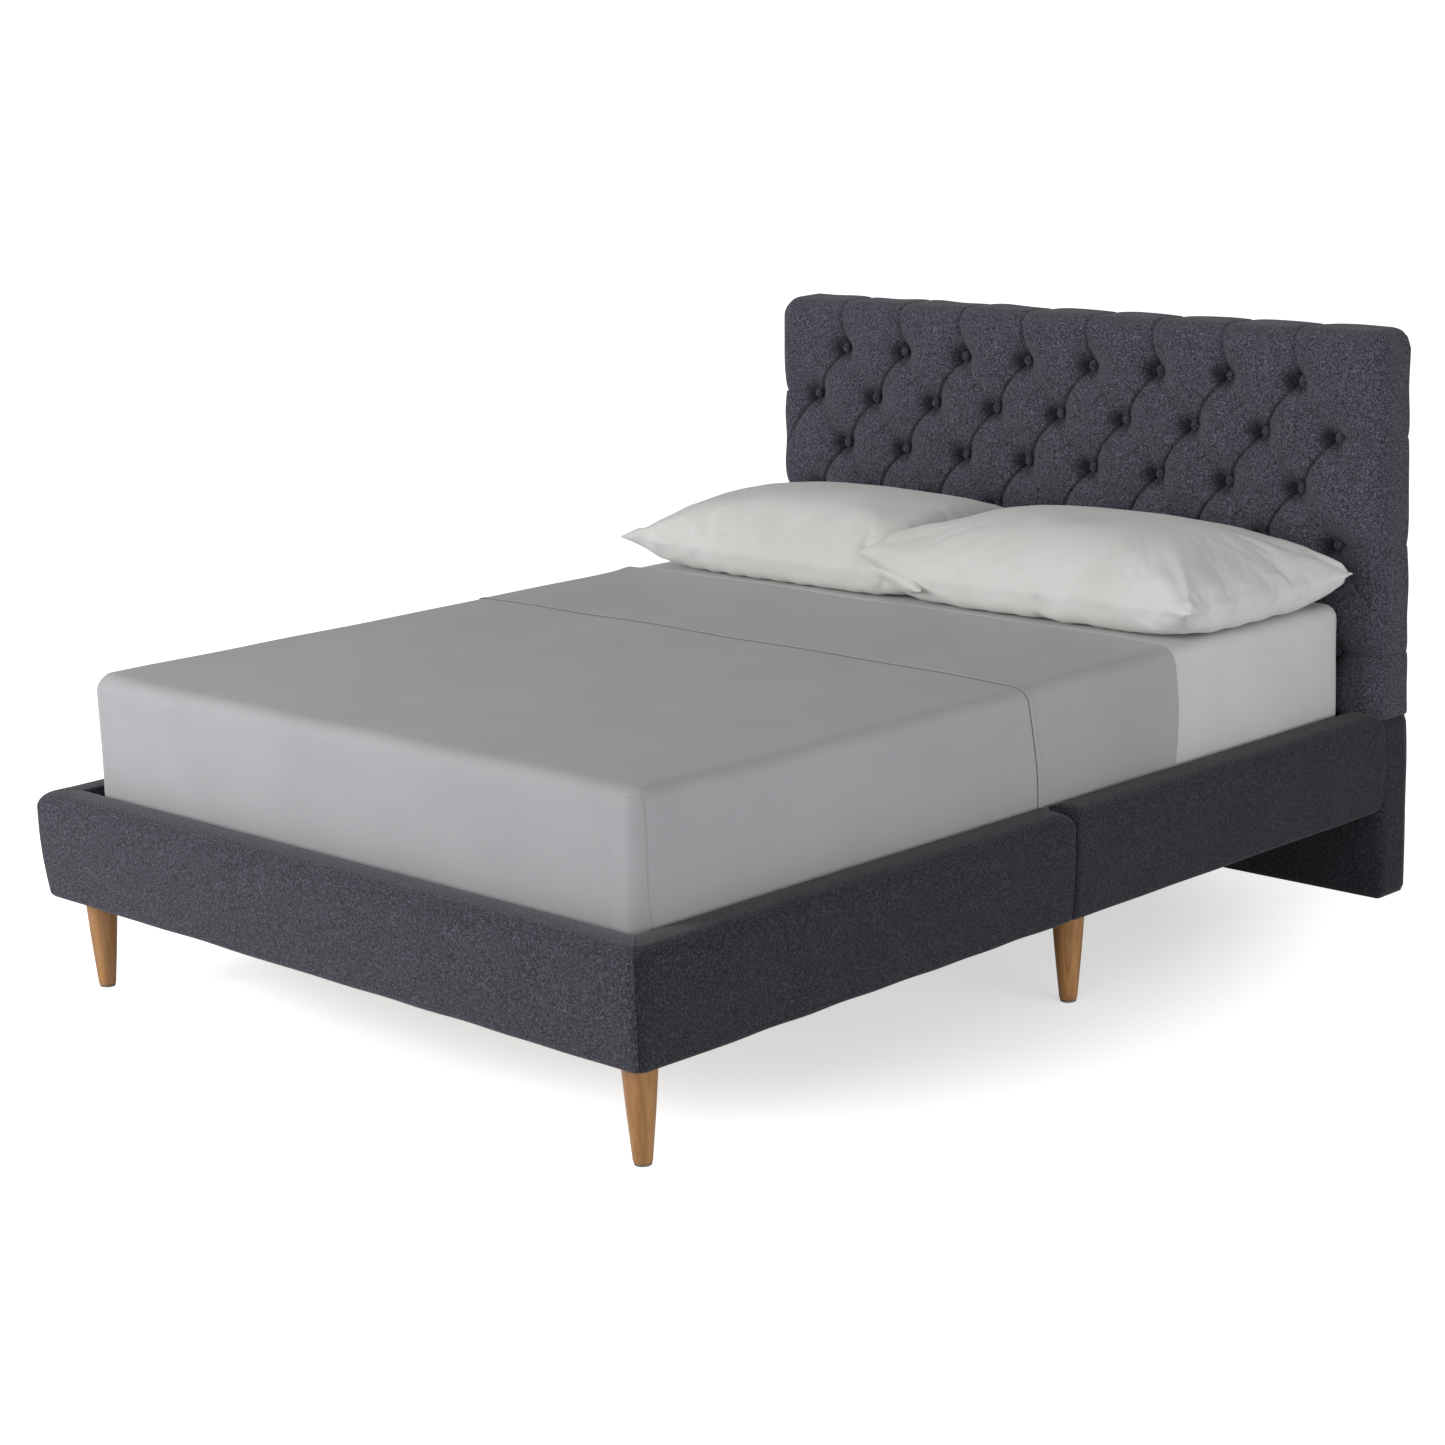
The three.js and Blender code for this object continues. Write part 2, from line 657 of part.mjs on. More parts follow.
// The right pillow lies over the inner end of the left one, which keeps clear of it.
function pillows(parent) {
  const y = mattressHead - pillowBackGap - pillowDepth / 2;
  const z = mattressTop + 2 * fit + pillowBottom;
  addPiece(parent, 'pillow_right', pillow(0), ivoryCotton, rightPillowX, y, z);
  const apart = rightPillowX - leftPillowX;
  const clearance = 2;
  const left = cut(pillow(0), pillow(clearance).translate(apart, 0, 0),
    spaceAbovePillow(clearance).translate(apart, 0, 0));
  addPiece(parent, 'pillow_left', left, ivoryCotton, leftPillowX, y, z);
}

// ---- The bed -----------------------------------------------------------------------

const frontHalf = new THREE.Group();
footRail(frontHalf);
frontSideRails(frontHalf);
slats(frontHalf, 1, footInner, frontCrossbarY);
legSet(frontHalf, 'front', footLegY, footBlockY);

const rearHalf = new THREE.Group();
rearSideRails(rearHalf);
slats(rearHalf, slatCount + 1, rearCrossbarY + crossbarThickness, headFront);
legSet(rearHalf, 'mid', midLegY, midBlockY);
centreLeg(rearHalf);

const platform = new THREE.Group();
crossbars(platform);
ledges(platform);
centreBeam(platform);

const headboard = new THREE.Group();
headboardFrame(headboard);
headBolts(headboard);
lowerCover(headboard);
buttonedPad(headboard);
backCloth(headboard);

const bedding = new THREE.Group();
mattressSet(bedding);
pillows(bedding);

bed.add(frontHalf, rearHalf, platform, headboard, bedding);

export default bed;
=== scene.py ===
import json
import math

import bmesh
import bpy
import numpy as np
from mathutils import Matrix, Vector

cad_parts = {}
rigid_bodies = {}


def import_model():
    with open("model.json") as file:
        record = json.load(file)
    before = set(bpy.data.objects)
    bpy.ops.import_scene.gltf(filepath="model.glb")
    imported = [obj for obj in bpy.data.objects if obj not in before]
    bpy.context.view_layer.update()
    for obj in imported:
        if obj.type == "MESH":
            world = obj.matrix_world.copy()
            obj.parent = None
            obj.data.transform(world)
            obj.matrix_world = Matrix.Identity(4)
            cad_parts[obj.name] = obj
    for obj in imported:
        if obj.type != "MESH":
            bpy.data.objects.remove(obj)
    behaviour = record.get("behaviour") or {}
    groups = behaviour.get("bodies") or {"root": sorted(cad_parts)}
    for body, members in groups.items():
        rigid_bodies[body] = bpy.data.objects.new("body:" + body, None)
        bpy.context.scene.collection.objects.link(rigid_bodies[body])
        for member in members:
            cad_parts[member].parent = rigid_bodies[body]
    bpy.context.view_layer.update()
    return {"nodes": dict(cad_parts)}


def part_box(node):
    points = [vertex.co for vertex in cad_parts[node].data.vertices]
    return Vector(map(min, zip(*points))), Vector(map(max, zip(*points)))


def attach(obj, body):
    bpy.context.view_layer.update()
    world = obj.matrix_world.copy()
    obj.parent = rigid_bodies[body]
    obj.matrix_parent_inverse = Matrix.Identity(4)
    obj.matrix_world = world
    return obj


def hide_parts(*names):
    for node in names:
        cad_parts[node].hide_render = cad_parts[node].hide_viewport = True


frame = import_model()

scene = bpy.context.scene
sides = ("right", "left")
for leftOver in [thing for thing in scene.objects if thing.name in ("Cube", "Light", "Camera")]:
    bpy.data.objects.remove(leftOver)         # what a new Blender file starts with
print("frame loaded:", len(frame["nodes"]), "nodes")


# Camera, light and floor

cameraSet = {
    "place": (4.1657, -4.2614, 1.7987),
    "turn": 44.712,      # degrees round the bed, from its foot towards its right
    "tilt": 12.850,      # degrees above the horizon
    "roll": -1.623,
    "lens": 77.95,
    "sensor": 36.0,
}


def addCamera(spec):
    turn, tilt, roll = (math.radians(spec[key]) for key in ("turn", "tilt", "roll"))
    back = Vector((math.sin(turn) * math.cos(tilt), -math.cos(turn) * math.cos(tilt), math.sin(tilt)))
    level = Vector((0, 0, 1)).cross(back).normalized()
    upright = back.cross(level)
    right = level * math.cos(roll) + upright * math.sin(roll)
    up = upright * math.cos(roll) - level * math.sin(roll)
    data = bpy.data.cameras.new("camera")
    data.lens = spec["lens"]
    data.sensor_width = spec["sensor"]
    data.clip_start = 0.05
    data.clip_end = 100
    camera = bpy.data.objects.new("camera", data)
    camera.matrix_world = Matrix((right, up, back)).transposed().to_4x4()
    camera.location = spec["place"]
    scene.collection.objects.link(camera)
    scene.camera = camera


lightSet = {
    # name: (place, aimed at, width, height, watts)
    "key": ((-2.6, -4.6, 2.3), (0.0, -0.2, 0.4), 2.6, 2.2, 196),
    "side": ((4.9, -0.4, 1.0), (0.4, 0.1, 0.5), 3.2, 1.6, 74),
    "front": ((2.6, -5.2, 2.6), (0.0, 0.4, 0.6), 2.2, 1.8, 40),
    "top": ((-0.6, 0.2, 4.4), (0.0, 0.1, 0.4), 2.6, 3.2, 14),
}
studioSet = {
    "air": 0.28,
    "floorWhite": (0.765, 0.785, 0.805),
    "nearGlow": 0.55,         # the floor's own glow, seen only by the camera: lower under the bed as a painted shadow, full away from it
    "farGlow": 1.0,
    "nearReach": 0.75,
    "farReach": 1.50,
    "floorSize": 160.0,
}


def addLights(lights, studio):
    for name, (place, target, width, height, watts) in lights.items():
        data = bpy.data.lights.new(name, "AREA")
        data.shape = "RECTANGLE"
        data.size = width
        data.size_y = height
        data.energy = watts
        lamp = bpy.data.objects.new(name, data)
        aim = Vector(target) - Vector(place)
        lamp.matrix_world = aim.to_track_quat("-Z", "Y").to_matrix().to_4x4()
        lamp.location = place
        scene.collection.objects.link(lamp)
    world = bpy.data.worlds.new("studio air")
    world.use_nodes = True
    tree = world.node_tree
    air = tree.nodes["Background"]
    air.inputs["Color"].default_value = (0.97, 0.98, 1.0, 1)
    air.inputs["Strength"].default_value = studio["air"]
    paper = tree.nodes.new("ShaderNodeBackground")     # what the camera sees past the floor
    paper.inputs["Color"].default_value = (1, 1, 1, 1)
    paper.inputs["Strength"].default_value = 1.1
    seen = tree.nodes.new("ShaderNodeLightPath")
    choice = tree.nodes.new("ShaderNodeMixShader")
    tree.links.new(seen.outputs["Is Camera Ray"], choice.inputs["Fac"])
    tree.links.new(air.outputs[0], choice.inputs[1])
    tree.links.new(paper.outputs[0], choice.inputs[2])
    tree.links.new(choice.outputs[0], tree.nodes["World Output"].inputs["Surface"])
    scene.world = world
    scene.view_settings.view_transform = "Standard"
    scene.view_settings.look = "None"
    half = studio["floorSize"] / 2
    points = [(-half, -half, 0), (half, -half, 0), (half, half, 0), (-half, half, 0)]
    material, tree, shader = newMaterial("pale floor", {"Roughness": 0.9, "Specular IOR Level": 0.1})
    shader.inputs["Base Color"].default_value = (*studio["floorWhite"], 1)
    shader.inputs["Emission Color"].default_value = (1, 1, 1, 1)
    # Painted shadow: the floor's glow fades towards the bed, so the floor darkens round and under it on top of
    # its real shadow.
    away = addNode(tree, "ShaderNodeVectorMath", {0: objectCoordinates(tree)}, operation="LENGTH")
    glow = addNode(tree, "ShaderNodeMapRange", {
        "Value": away.outputs["Value"], "From Min": studio["nearReach"], "From Max": studio["farReach"],
        "To Min": studio["nearGlow"], "To Max": studio["farGlow"]}, interpolation_type="SMOOTHSTEP")
    seen = addNode(tree, "ShaderNodeLightPath").outputs["Is Camera Ray"]
    tree.links.new(addMath(tree, "MULTIPLY", glow.outputs[0], seen), shader.inputs["Emission Strength"])
    floor = meshFrom("floor", points, [(0, 1, 2, 3)], material)


# Making meshes and materials

def meshFrom(name, points, faces, material):
    mesh = bpy.data.meshes.new(name)
    mesh.from_pydata(np.asarray(points, float).tolist(), [], [list(map(int, face)) for face in faces])
    mesh.polygons.foreach_set("use_smooth", [True] * len(mesh.polygons))
    mesh.materials.append(material)
    piece = bpy.data.objects.new(name, mesh)
    scene.collection.objects.link(piece)
    return piece


# Joins points that coincide, drops faces with no area and turns the rest outwards.
def tidyMesh(piece, distance=1e-5):
    work = bmesh.new()
    work.from_mesh(piece.data)
    bmesh.ops.remove_doubles(work, verts=work.verts, dist=distance)
    bmesh.ops.dissolve_degenerate(work, edges=work.edges, dist=distance / 10)
    bmesh.ops.recalc_face_normals(work, faces=work.faces)
    work.to_mesh(piece.data)
    work.free()
    return piece


# Quads between points listed row by row; wrap joins the last column to the first.
def gridFaces(rows, columns, wrap=False):
    row = np.arange(rows - 1)[:, None]
    column = np.arange(columns if wrap else columns - 1)[None, :]
    here = row * columns + column
    beside = row * columns + (column + 1) % columns
    return np.stack([here, beside, beside + columns, here + columns], -1).reshape(-1, 4)


# The loop of grid places round a grid's border.
def borderOf(rows, columns):
    places = ([(0, c) for c in range(columns)] + [(r, columns - 1) for r in range(1, rows)]
              + [(rows - 1, c) for c in range(columns - 2, -1, -1)]
              + [(r, 0) for r in range(rows - 2, 0, -1)])
    return [r * columns + c for r, c in places]


# A skin over closed rings of points, with a cap on the first and last ring.
def loft(name, rings, material):
    rings = np.asarray(rings, float)
    count, around = rings.shape[:2]
    faces = [tuple(face) for face in gridFaces(count, around, wrap=True)]
    faces.append(tuple(range(around)))
    faces.append(tuple(range((count - 1) * around, count * around)))
    return tidyMesh(meshFrom(name, rings.reshape(-1, 3), faces, material))


def place(piece, body, slotName, *nodes):
    if nodes:
        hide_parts(*nodes)
    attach(piece, body)
    return piece


def eased(t):
    t = np.clip(t, 0, 1)
    return t * t * (3 - 2 * t)


# Gentle unevenness over two coordinates: a few seeded sine waves, about -1 to 1.
def unevenness(a, b, wavelength, seed, waves=7):
    draw = np.random.default_rng(seed)
    total = np.zeros(np.broadcast(a, b).shape)
    for _ in range(waves):
        angle = draw.uniform(0, math.pi)
        stretch = draw.uniform(0.7, 1.6)
        phase = draw.uniform(0, 2 * math.pi)
        run = (a * math.cos(angle) + b * math.sin(angle)) * 2 * math.pi / (wavelength * stretch)
        total = total + np.sin(run + phase)
    return total / math.sqrt(waves)


def newMaterial(name, settings):
    material = bpy.data.materials.new(name)
    material.use_nodes = True
    shader = material.node_tree.nodes["Principled BSDF"]
    for socket, value in settings.items():
        shader.inputs[socket].default_value = value
    return material, material.node_tree, shader


# Adds a node; an input is either a value or another node's output.
def addNode(tree, kind, inputs=(), **settings):
    node = tree.nodes.new(kind)
    for key, value in settings.items():
        setattr(node, key, value)
    for key, value in dict(inputs).items():
        if isinstance(value, bpy.types.NodeSocket):
            tree.links.new(value, node.inputs[key])
        else:
            node.inputs[key].default_value = value
    return node


def addMath(tree, operation, first, second):
    node = addNode(tree, "ShaderNodeMath", {0: first, 1: second}, operation=operation)
    return node.outputs[0]


# Two patterns added, each by its own share.
def addShares(tree, first, firstShare, second, secondShare):
    parts = [addMath(tree, "MULTIPLY", value, share)
             for value, share in ((first, firstShare), (second, secondShare))]
    return addMath(tree, "ADD", *parts)


def addNoise(tree, coordinates, scale, detail=2.0, stretch=(1, 1, 1), distortion=0.0):
    mapped = addNode(tree, "ShaderNodeMapping", {"Vector": coordinates, "Scale": stretch})
    inputs = {"Vector": mapped.outputs[0], "Scale": scale, "Detail": detail, "Distortion": distortion}
    return addNode(tree, "ShaderNodeTexNoise", inputs).outputs["Fac"]


def addRamp(tree, factor, stops):
    node = addNode(tree, "ShaderNodeValToRGB", {"Fac": factor})
    ramp = node.color_ramp
    while len(ramp.elements) < len(stops):
        ramp.elements.new(0.5)
    for element, (position, colour) in zip(ramp.elements, stops):
        element.position = position
        element.color = (*colour, 1)
    return node.outputs["Color"]


def addBump(tree, shader, height, distance, strength=1.0):
    bump = addNode(tree, "ShaderNodeBump", {"Height": height, "Distance": distance, "Strength": strength})
    tree.links.new(bump.outputs[0], shader.inputs["Normal"])
    return bump


def objectCoordinates(tree):
    return addNode(tree, "ShaderNodeTexCoord").outputs["Object"]


# Finishes

weaveSet = {
    "dark": (0.0175, 0.0155, 0.022),
    "middle": (0.043, 0.0395, 0.053),
    "light": (0.114, 0.105, 0.134),
    "speck": 430.0,        # dashes of light and dark yarn to the metre
    "yarn": 760.0,
    "hollow": 0.22,        # painted shade: how dark the colour is made down in the dip round a button
    # where that painted shade is centred: a little off each button, on the side that faces away from the key
    # light
    "hollowShift": (0.009, 0.002, 0.0),
}


# A heathered weave: short light and dark dashes along each axis, and the yarn's own relief.
def charcoalWeave(spec, shade=1.0, puckeredAndShaded=False):
    settings = {"Roughness": 0.95, "Specular IOR Level": 0.12, "Sheen Weight": 0.16, "Sheen Roughness": 0.5}
    material, tree, shader = newMaterial("charcoal weave", settings)
    where = objectCoordinates(tree)
    dashes = [addNoise(tree, where, spec["speck"], 1.5, stretch)
              for stretch in ((0.42, 1, 1), (1, 0.42, 1), (1, 1, 0.42))]
    total = addMath(tree, "ADD", addMath(tree, "ADD", dashes[0], dashes[1]), dashes[2])
    share = addMath(tree, "DIVIDE", total, 3.0)
    # shade scales every colour of the weave: copies below 1 carry painted shade, copies above 1 painted light.
    stops = [(position, tuple(shade * channel for channel in spec[name]))
             for position, name in ((0.40, "dark"), (0.50, "middle"), (0.62, "light"))]
    colour = addRamp(tree, share, stops)
    yarn = addNoise(tree, where, spec["yarn"], 1.0)
    relief = addMath(tree, "ADD", share, addMath(tree, "MULTIPLY", yarn, 0.6))
    if puckeredAndShaded:                       # small radial gathers round each button, and painted shade in the dip round it
        offset = addNode(tree, "ShaderNodeAttribute", attribute_name="fromButton").outputs["Vector"]
        split = addNode(tree, "ShaderNodeSeparateXYZ", {"Vector": offset})
        angle = addMath(tree, "ARCTAN2", split.outputs[0], split.outputs[1])
        reach = addNode(tree, "ShaderNodeVectorMath", {0: offset}, operation="LENGTH").outputs["Value"]
        spokes = addMath(tree, "SINE", addMath(tree, "MULTIPLY", angle, 13.0), 0.0)
        spokes = addMath(tree, "MULTIPLY", spokes, addMath(tree, "SINE", addMath(
            tree, "ADD", addMath(tree, "MULTIPLY", angle, 5.0), 1.3), 0.0))
        near = addNode(tree, "ShaderNodeMapRange", {
            "Value": reach, "From Min": 0.016, "From Max": 0.048, "To Min": 1.0, "To Max": 0.0})
        gather = addMath(tree, "MULTIPLY", spokes, near.outputs[0])
        relief = addMath(tree, "ADD", relief, addMath(tree, "MULTIPLY", gather, 1.1))
        # Painted shade: the colour darkens towards each button, centred a little off it on the side away from
        # the key light, where the dip lies in shade.
        beside = addNode(tree, "ShaderNodeVectorMath", {0: offset, 1: spec["hollowShift"]}, operation="ADD")
        distance = addNode(tree, "ShaderNodeVectorMath", {0: beside.outputs[0]}, operation="LENGTH")
        paintedShade = addNode(tree, "ShaderNodeMapRange", {
            "Value": distance.outputs["Value"], "From Min": 0.006, "From Max": 0.038,
            "To Min": spec["hollow"], "To Max": 1.0}, interpolation_type="SMOOTHSTEP")
        dimmed = addNode(tree, "ShaderNodeVectorMath", {
            0: colour, "Scale": paintedShade.outputs[0]}, operation="SCALE")
        colour = dimmed.outputs[0]
    tree.links.new(colour, shader.inputs["Base Color"])
    addBump(tree, shader, relief, 0.0016, 0.75)
    return material


# Plain bed linen: a fine weave, faint creases and slow changes of shade.
def linen(name, light, shade, crease, roughness=0.85):
    settings = {"Roughness": roughness, "Specular IOR Level": 0.2,
                "Sheen Weight": 0.12, "Sheen Roughness": 0.4}
    material, tree, shader = newMaterial(name, settings)
    where = objectCoordinates(tree)
    slow = addNoise(tree, where, 5.0, 3.0)
    fine = addNoise(tree, where, 900.0, 1.0)
    mixed = addShares(tree, slow, 0.8, fine, 0.2)
    tree.links.new(addRamp(tree, mixed, [(0.36, shade), (0.62, light)]), shader.inputs["Base Color"])
    creases = addNoise(tree, where, 24.0, 5.0, (1, 0.5, 1), 0.8)
    height = addShares(tree, creases, crease, fine, 0.25)
    addBump(tree, shader, height, 0.0012, 0.6)
    return material


# Timber with its grain along one axis.
def timber(name, light, dark, along, ring, roughness, coat=0.0):
    settings = {"Roughness": roughness, "Coat Weight": coat, "Coat Roughness": 0.3}
    material, tree, shader = newMaterial(name, settings)
    where = objectCoordinates(tree)
    stretch = [1.0, 1.0, 1.0]
    stretch[along] = 0.07
    rings = addNoise(tree, where, ring, 3.0, stretch, 1.6)
    fibre = addNoise(tree, where, ring * 9, 2.0, stretch)
    grain = addShares(tree, rings, 0.75, fibre, 0.25)
    tree.links.new(addRamp(tree, grain, [(0.34, dark), (0.60, light)]), shader.inputs["Base Color"])
    addBump(tree, shader, grain, 0.0006, 0.35)
    return material


# A smooth finish with a little unevenness in its sheen.
def mottled(name, colour, roughness, metal, speck, depth=0.0003):
    material, tree, shader = newMaterial(name, {"Metallic": metal})
    where = objectCoordinates(tree)
    noise = addNoise(tree, where, speck, 3.0)
    dim = tuple(0.78 * channel for channel in colour)
    tree.links.new(addRamp(tree, noise, [(0.35, dim), (0.65, colour)]), shader.inputs["Base Color"])
    rough = addNode(tree, "ShaderNodeMapRange", {
        "Value": noise, "To Min": roughness - 0.08, "To Max": roughness + 0.08})
    tree.links.new(rough.outputs[0], shader.inputs["Roughness"])
    addBump(tree, shader, noise, depth, 0.4)
    return material


addCamera(cameraSet)
addLights(lightSet, studioSet)
weave = charcoalWeave(weaveSet)
shadedSideWeave = charcoalWeave(weaveSet, 0.56)         # darker copy: painted shade on the side rails and lower cover, which face away from the key light
# A lighter copy of the same weave for the buttoned front: painted light, with painted shade in the dips round
# the buttons.
litPadWeave = charcoalWeave(weaveSet, 1.38, puckeredAndShaded=True)
greySheet = linen("grey sheet", (0.395, 0.388, 0.402), (0.375, 0.368, 0.382), 0.25)
ivoryCotton = linen("ivory cotton", (0.62, 0.62, 0.61), (0.58, 0.58, 0.57), 0.5)
pillowCotton = linen("pillow cotton", (0.70, 0.695, 0.675), (0.63, 0.625, 0.60), 1.6)
ticking = linen("ticking", (0.80, 0.78, 0.74), (0.74, 0.72, 0.68), 0.5)
honeyWood = timber("honey wood", (0.47, 0.235, 0.080), (0.31, 0.135, 0.040), 2, 55.0, 0.40, 0.3)
pineAlongY = timber("pine", (0.66, 0.46, 0.25), (0.50, 0.31, 0.14), 1, 34.0, 0.62)
pineAlongX = timber("pine across", (0.66, 0.46, 0.25), (0.50, 0.31, 0.14), 0, 34.0, 0.62)
pineUpright = timber("pine upright", (0.66, 0.46, 0.25), (0.50, 0.31, 0.14), 2, 34.0, 0.62)
birch = timber("birch slat", (0.76, 0.60, 0.39), (0.64, 0.46, 0.26), 0, 26.0, 0.5)
fibreboard = mottled("fibreboard", (0.40, 0.27, 0.14), 0.85, 0.0, 600.0, 0.0006)
backCloth = mottled("back cloth", (0.016, 0.016, 0.017), 0.92, 0.0, 900.0, 0.0006)
zincSteel = mottled("zinc steel", (0.60, 0.61, 0.62), 0.36, 1.0, 90.0)
blackSteel = mottled("black steel", (0.018, 0.018, 0.019), 0.45, 0.4, 300.0)
glidePlastic = mottled("glide plastic", (0.26, 0.25, 0.24), 0.55, 0.0, 200.0)
print("camera, lights and finishes ready")


# Cloth laid over a block

# How a surface goes over an edge: flat, round the top edge, down the wall, round the
# bottom edge and under. run is the distance from where the corner's circle has its centre.
def overEdge(run, edge):
    flat = edge["corner"] - edge["round"]
    turn = np.clip((run - flat) / edge["round"], 0, math.pi / 2)
    out = np.minimum(run, flat) + edge["round"] * np.sin(turn)
    drop = edge["round"] * (1 - np.cos(turn))
    past = run - flat - edge["round"] * math.pi / 2
    drop = drop + np.clip(past, 0, edge["wall"])
    past = past - edge["wall"]
    under = np.zeros_like(run)
    if edge.get("foot"):
        under = np.clip(past / edge["foot"], 0, math.pi / 2)
        drop = drop + edge["foot"] * np.sin(under)
        out = out - edge["foot"] * (1 - np.cos(under))
        past = past - edge["foot"] * math.pi / 2
        out = out - np.maximum(past, 0)
    else:
        drop = drop + np.maximum(past, 0)
    normalOut = np.sin(turn) * np.cos(under)
    normalUp = np.cos(turn) - np.sin(under)
    return out, drop, normalOut, normalUp


# Lays flat coordinates u, v over a block whose rounded corners have their centres at the
# corners of the given rectangle. Returns plan position, drop and the outward normal.
def laidOver(u, v, uRange, vRange, edge):
    uInside = np.clip(u, *uRange)
    vInside = np.clip(v, *vRange)
    a = u - uInside
    b = v - vInside
    run = np.maximum(abs(a), abs(b))
    small = np.minimum(abs(a), abs(b))
    lean = np.where(run > 0, small / np.maximum(run, 1e-9), 0) * math.pi / 4
    angle = np.where(abs(a) >= abs(b), lean, math.pi / 2 - lean)
    across = np.cos(angle) * np.sign(a)
    along = np.sin(angle) * np.sign(b)
    out, drop, normalOut, normalUp = overEdge(run, edge)
    return (uInside + out * across, vInside + out * along, drop,
            normalOut * across, normalOut * along, normalUp)


# Evenly spaced values that include every multiple of step and both ends.
def spaced(low, high, step, origin=0.0):
    first = math.ceil((low - origin) / step + 1e-6)
    last = math.floor((high - origin) / step - 1e-6)
    inner = origin + step * np.arange(first, last + 1)
    return np.concatenate([[low], inner, [high]])


# Headboard

headSet = {
    "buttonPitch": 0.1757,
    "rowPitch": 0.1081,
    "topRow": 1.0418,         # height of the first row of buttons
    "rows": 6,
    "longRow": 9,             # buttons in rows 2, 4 and 6; one fewer in the others
    "stepsPerCell": 22,
    "crown": 0.004,           # how far the puffs stand in front of the model's pad
    "buttonDepth": 0.0325,
    "funnel": 0.0265,         # how much of that depth is the dip round a button
    "funnelReach": 0.033,
    "puff": 0.0050,
    "puffReach": 0.060,
    "crease": 0.0080,
    "sideDepth": 0.42,        # share of the dips left on the top and the sides
    "sideDeepest": 0.0088,
    "frontExtra": 0.028,
    "narrowing": 0.008,       # each side leans in by this much towards the top
    "round": 0.044,
    "seamRound": 0.018,
}


# Pleats as (start, end, side that overlaps, depth at start, at end, bow), flat coordinates.
def pleatLines(spec, half, top, bottom, wide, tall):
    pitch = spec["buttonPitch"]
    lines = []
    buttons = []
    for row in range(spec["rows"]):
        height = spec["topRow"] - row * spec["rowPitch"]
        count = spec["longRow"] - (row + 1) % 2
        places = [(i - (count - 1) / 2) * pitch for i in range(count)]
        buttons += [(x, height) for x in places]
        for x in places:
            if row == 0:
                lines.append(((x, height), (x, tall), (-1, 0), 1.0, 0.45, 0.008))
            if row == spec["rows"] - 1:
                lines.append(((x, height), (x, bottom), (-1, 0), 1.0, 0.5, 0.004))
            if row + 1 < spec["rows"]:
                for step in (-0.5, 0.5):
                    lower = (x + step * pitch, height - spec["rowPitch"])
                    if abs(lower[0]) < half:
                        bow, deep = (0.005, 1.0) if step < 0 else (-0.004, 0.38)
                        lines.append(((x, height), lower, None, deep, deep, bow))
        if count == spec["longRow"]:
            for x in (places[0], places[-1]):
                lines.append(((x, height), (math.copysign(wide, x), height), (0, -1), 0.9, 0.6, -0.002))
    return lines, buttons


# Depth of the buttoned surface at flat coordinates, its sideways pull and nearest button.
def buttonedDepth(u, v, lines, buttons, spec):
    crease = np.zeros_like(u)
    nearest = np.full_like(u, 1.0)
    leaning = np.zeros_like(u)
    pullU = np.zeros_like(u)
    pullV = np.zeros_like(u)
    for (u0, v0), (u1, v1), side, startDepth, endDepth, bow in lines:
        length = math.hypot(u1 - u0, v1 - v0)
        du, dv = (u1 - u0) / length, (v1 - v0) / length
        if side is None:
            side = (-dv, du) if du > 0 else (dv, -du)
        along = (u - u0) * du + (v - v0) * dv
        share = np.clip(along / length, 0, 1)
        offU = u - u0 - share * length * du
        offV = v - v0 - share * length * dv
        away = np.hypot(offU, offV)
        signed = (u - u0) * side[0] + (v - v0) * side[1]
        depth = startDepth + (endDepth - startDepth) * share
        closeness = np.where(signed > 1e-6, np.exp(-away / 0.0015), np.exp(-away / 0.0075))
        crease = np.maximum(crease, depth * closeness)
        leaning = np.where(away < nearest, np.sign(du * dv) if side[0] * side[1] else 0, leaning)
        nearest = np.minimum(nearest, away)
        window = np.sin(math.pi * share) * (along > 0) * (along < length)
        tuck = 0.0022 * depth * np.exp(-(signed / 0.0012) ** 2)
        over = -0.0016 * depth * np.exp(-((signed - 0.005) / 0.004) ** 2)
        pull = window * (tuck + over + bow * np.exp(-(signed / 0.03) ** 2))
        pullU += pull * side[0]
        pullV += pull * side[1]
    reach = np.full_like(u, 1.0)
    fromU = np.zeros_like(u)
    fromV = np.zeros_like(u)
    for bu, bv in buttons:
        distance = np.hypot(u - bu, v - bv)
        closer = distance < reach
        fromU = np.where(closer, u - bu, fromU)
        fromV = np.where(closer, v - bv, fromV)
        reach = np.minimum(reach, distance)
    funnel = spec["funnel"] * np.exp(-(reach / spec["funnelReach"]) ** 1.6)
    puff = spec["puff"] * np.clip(1 - nearest / spec["puffReach"], 0, 1) ** 2
    depth = funnel + puff + spec["crease"] * crease
    depth = np.minimum(depth, spec["buttonDepth"])
    return depth, pullU, pullV, leaning, fromU, fromV


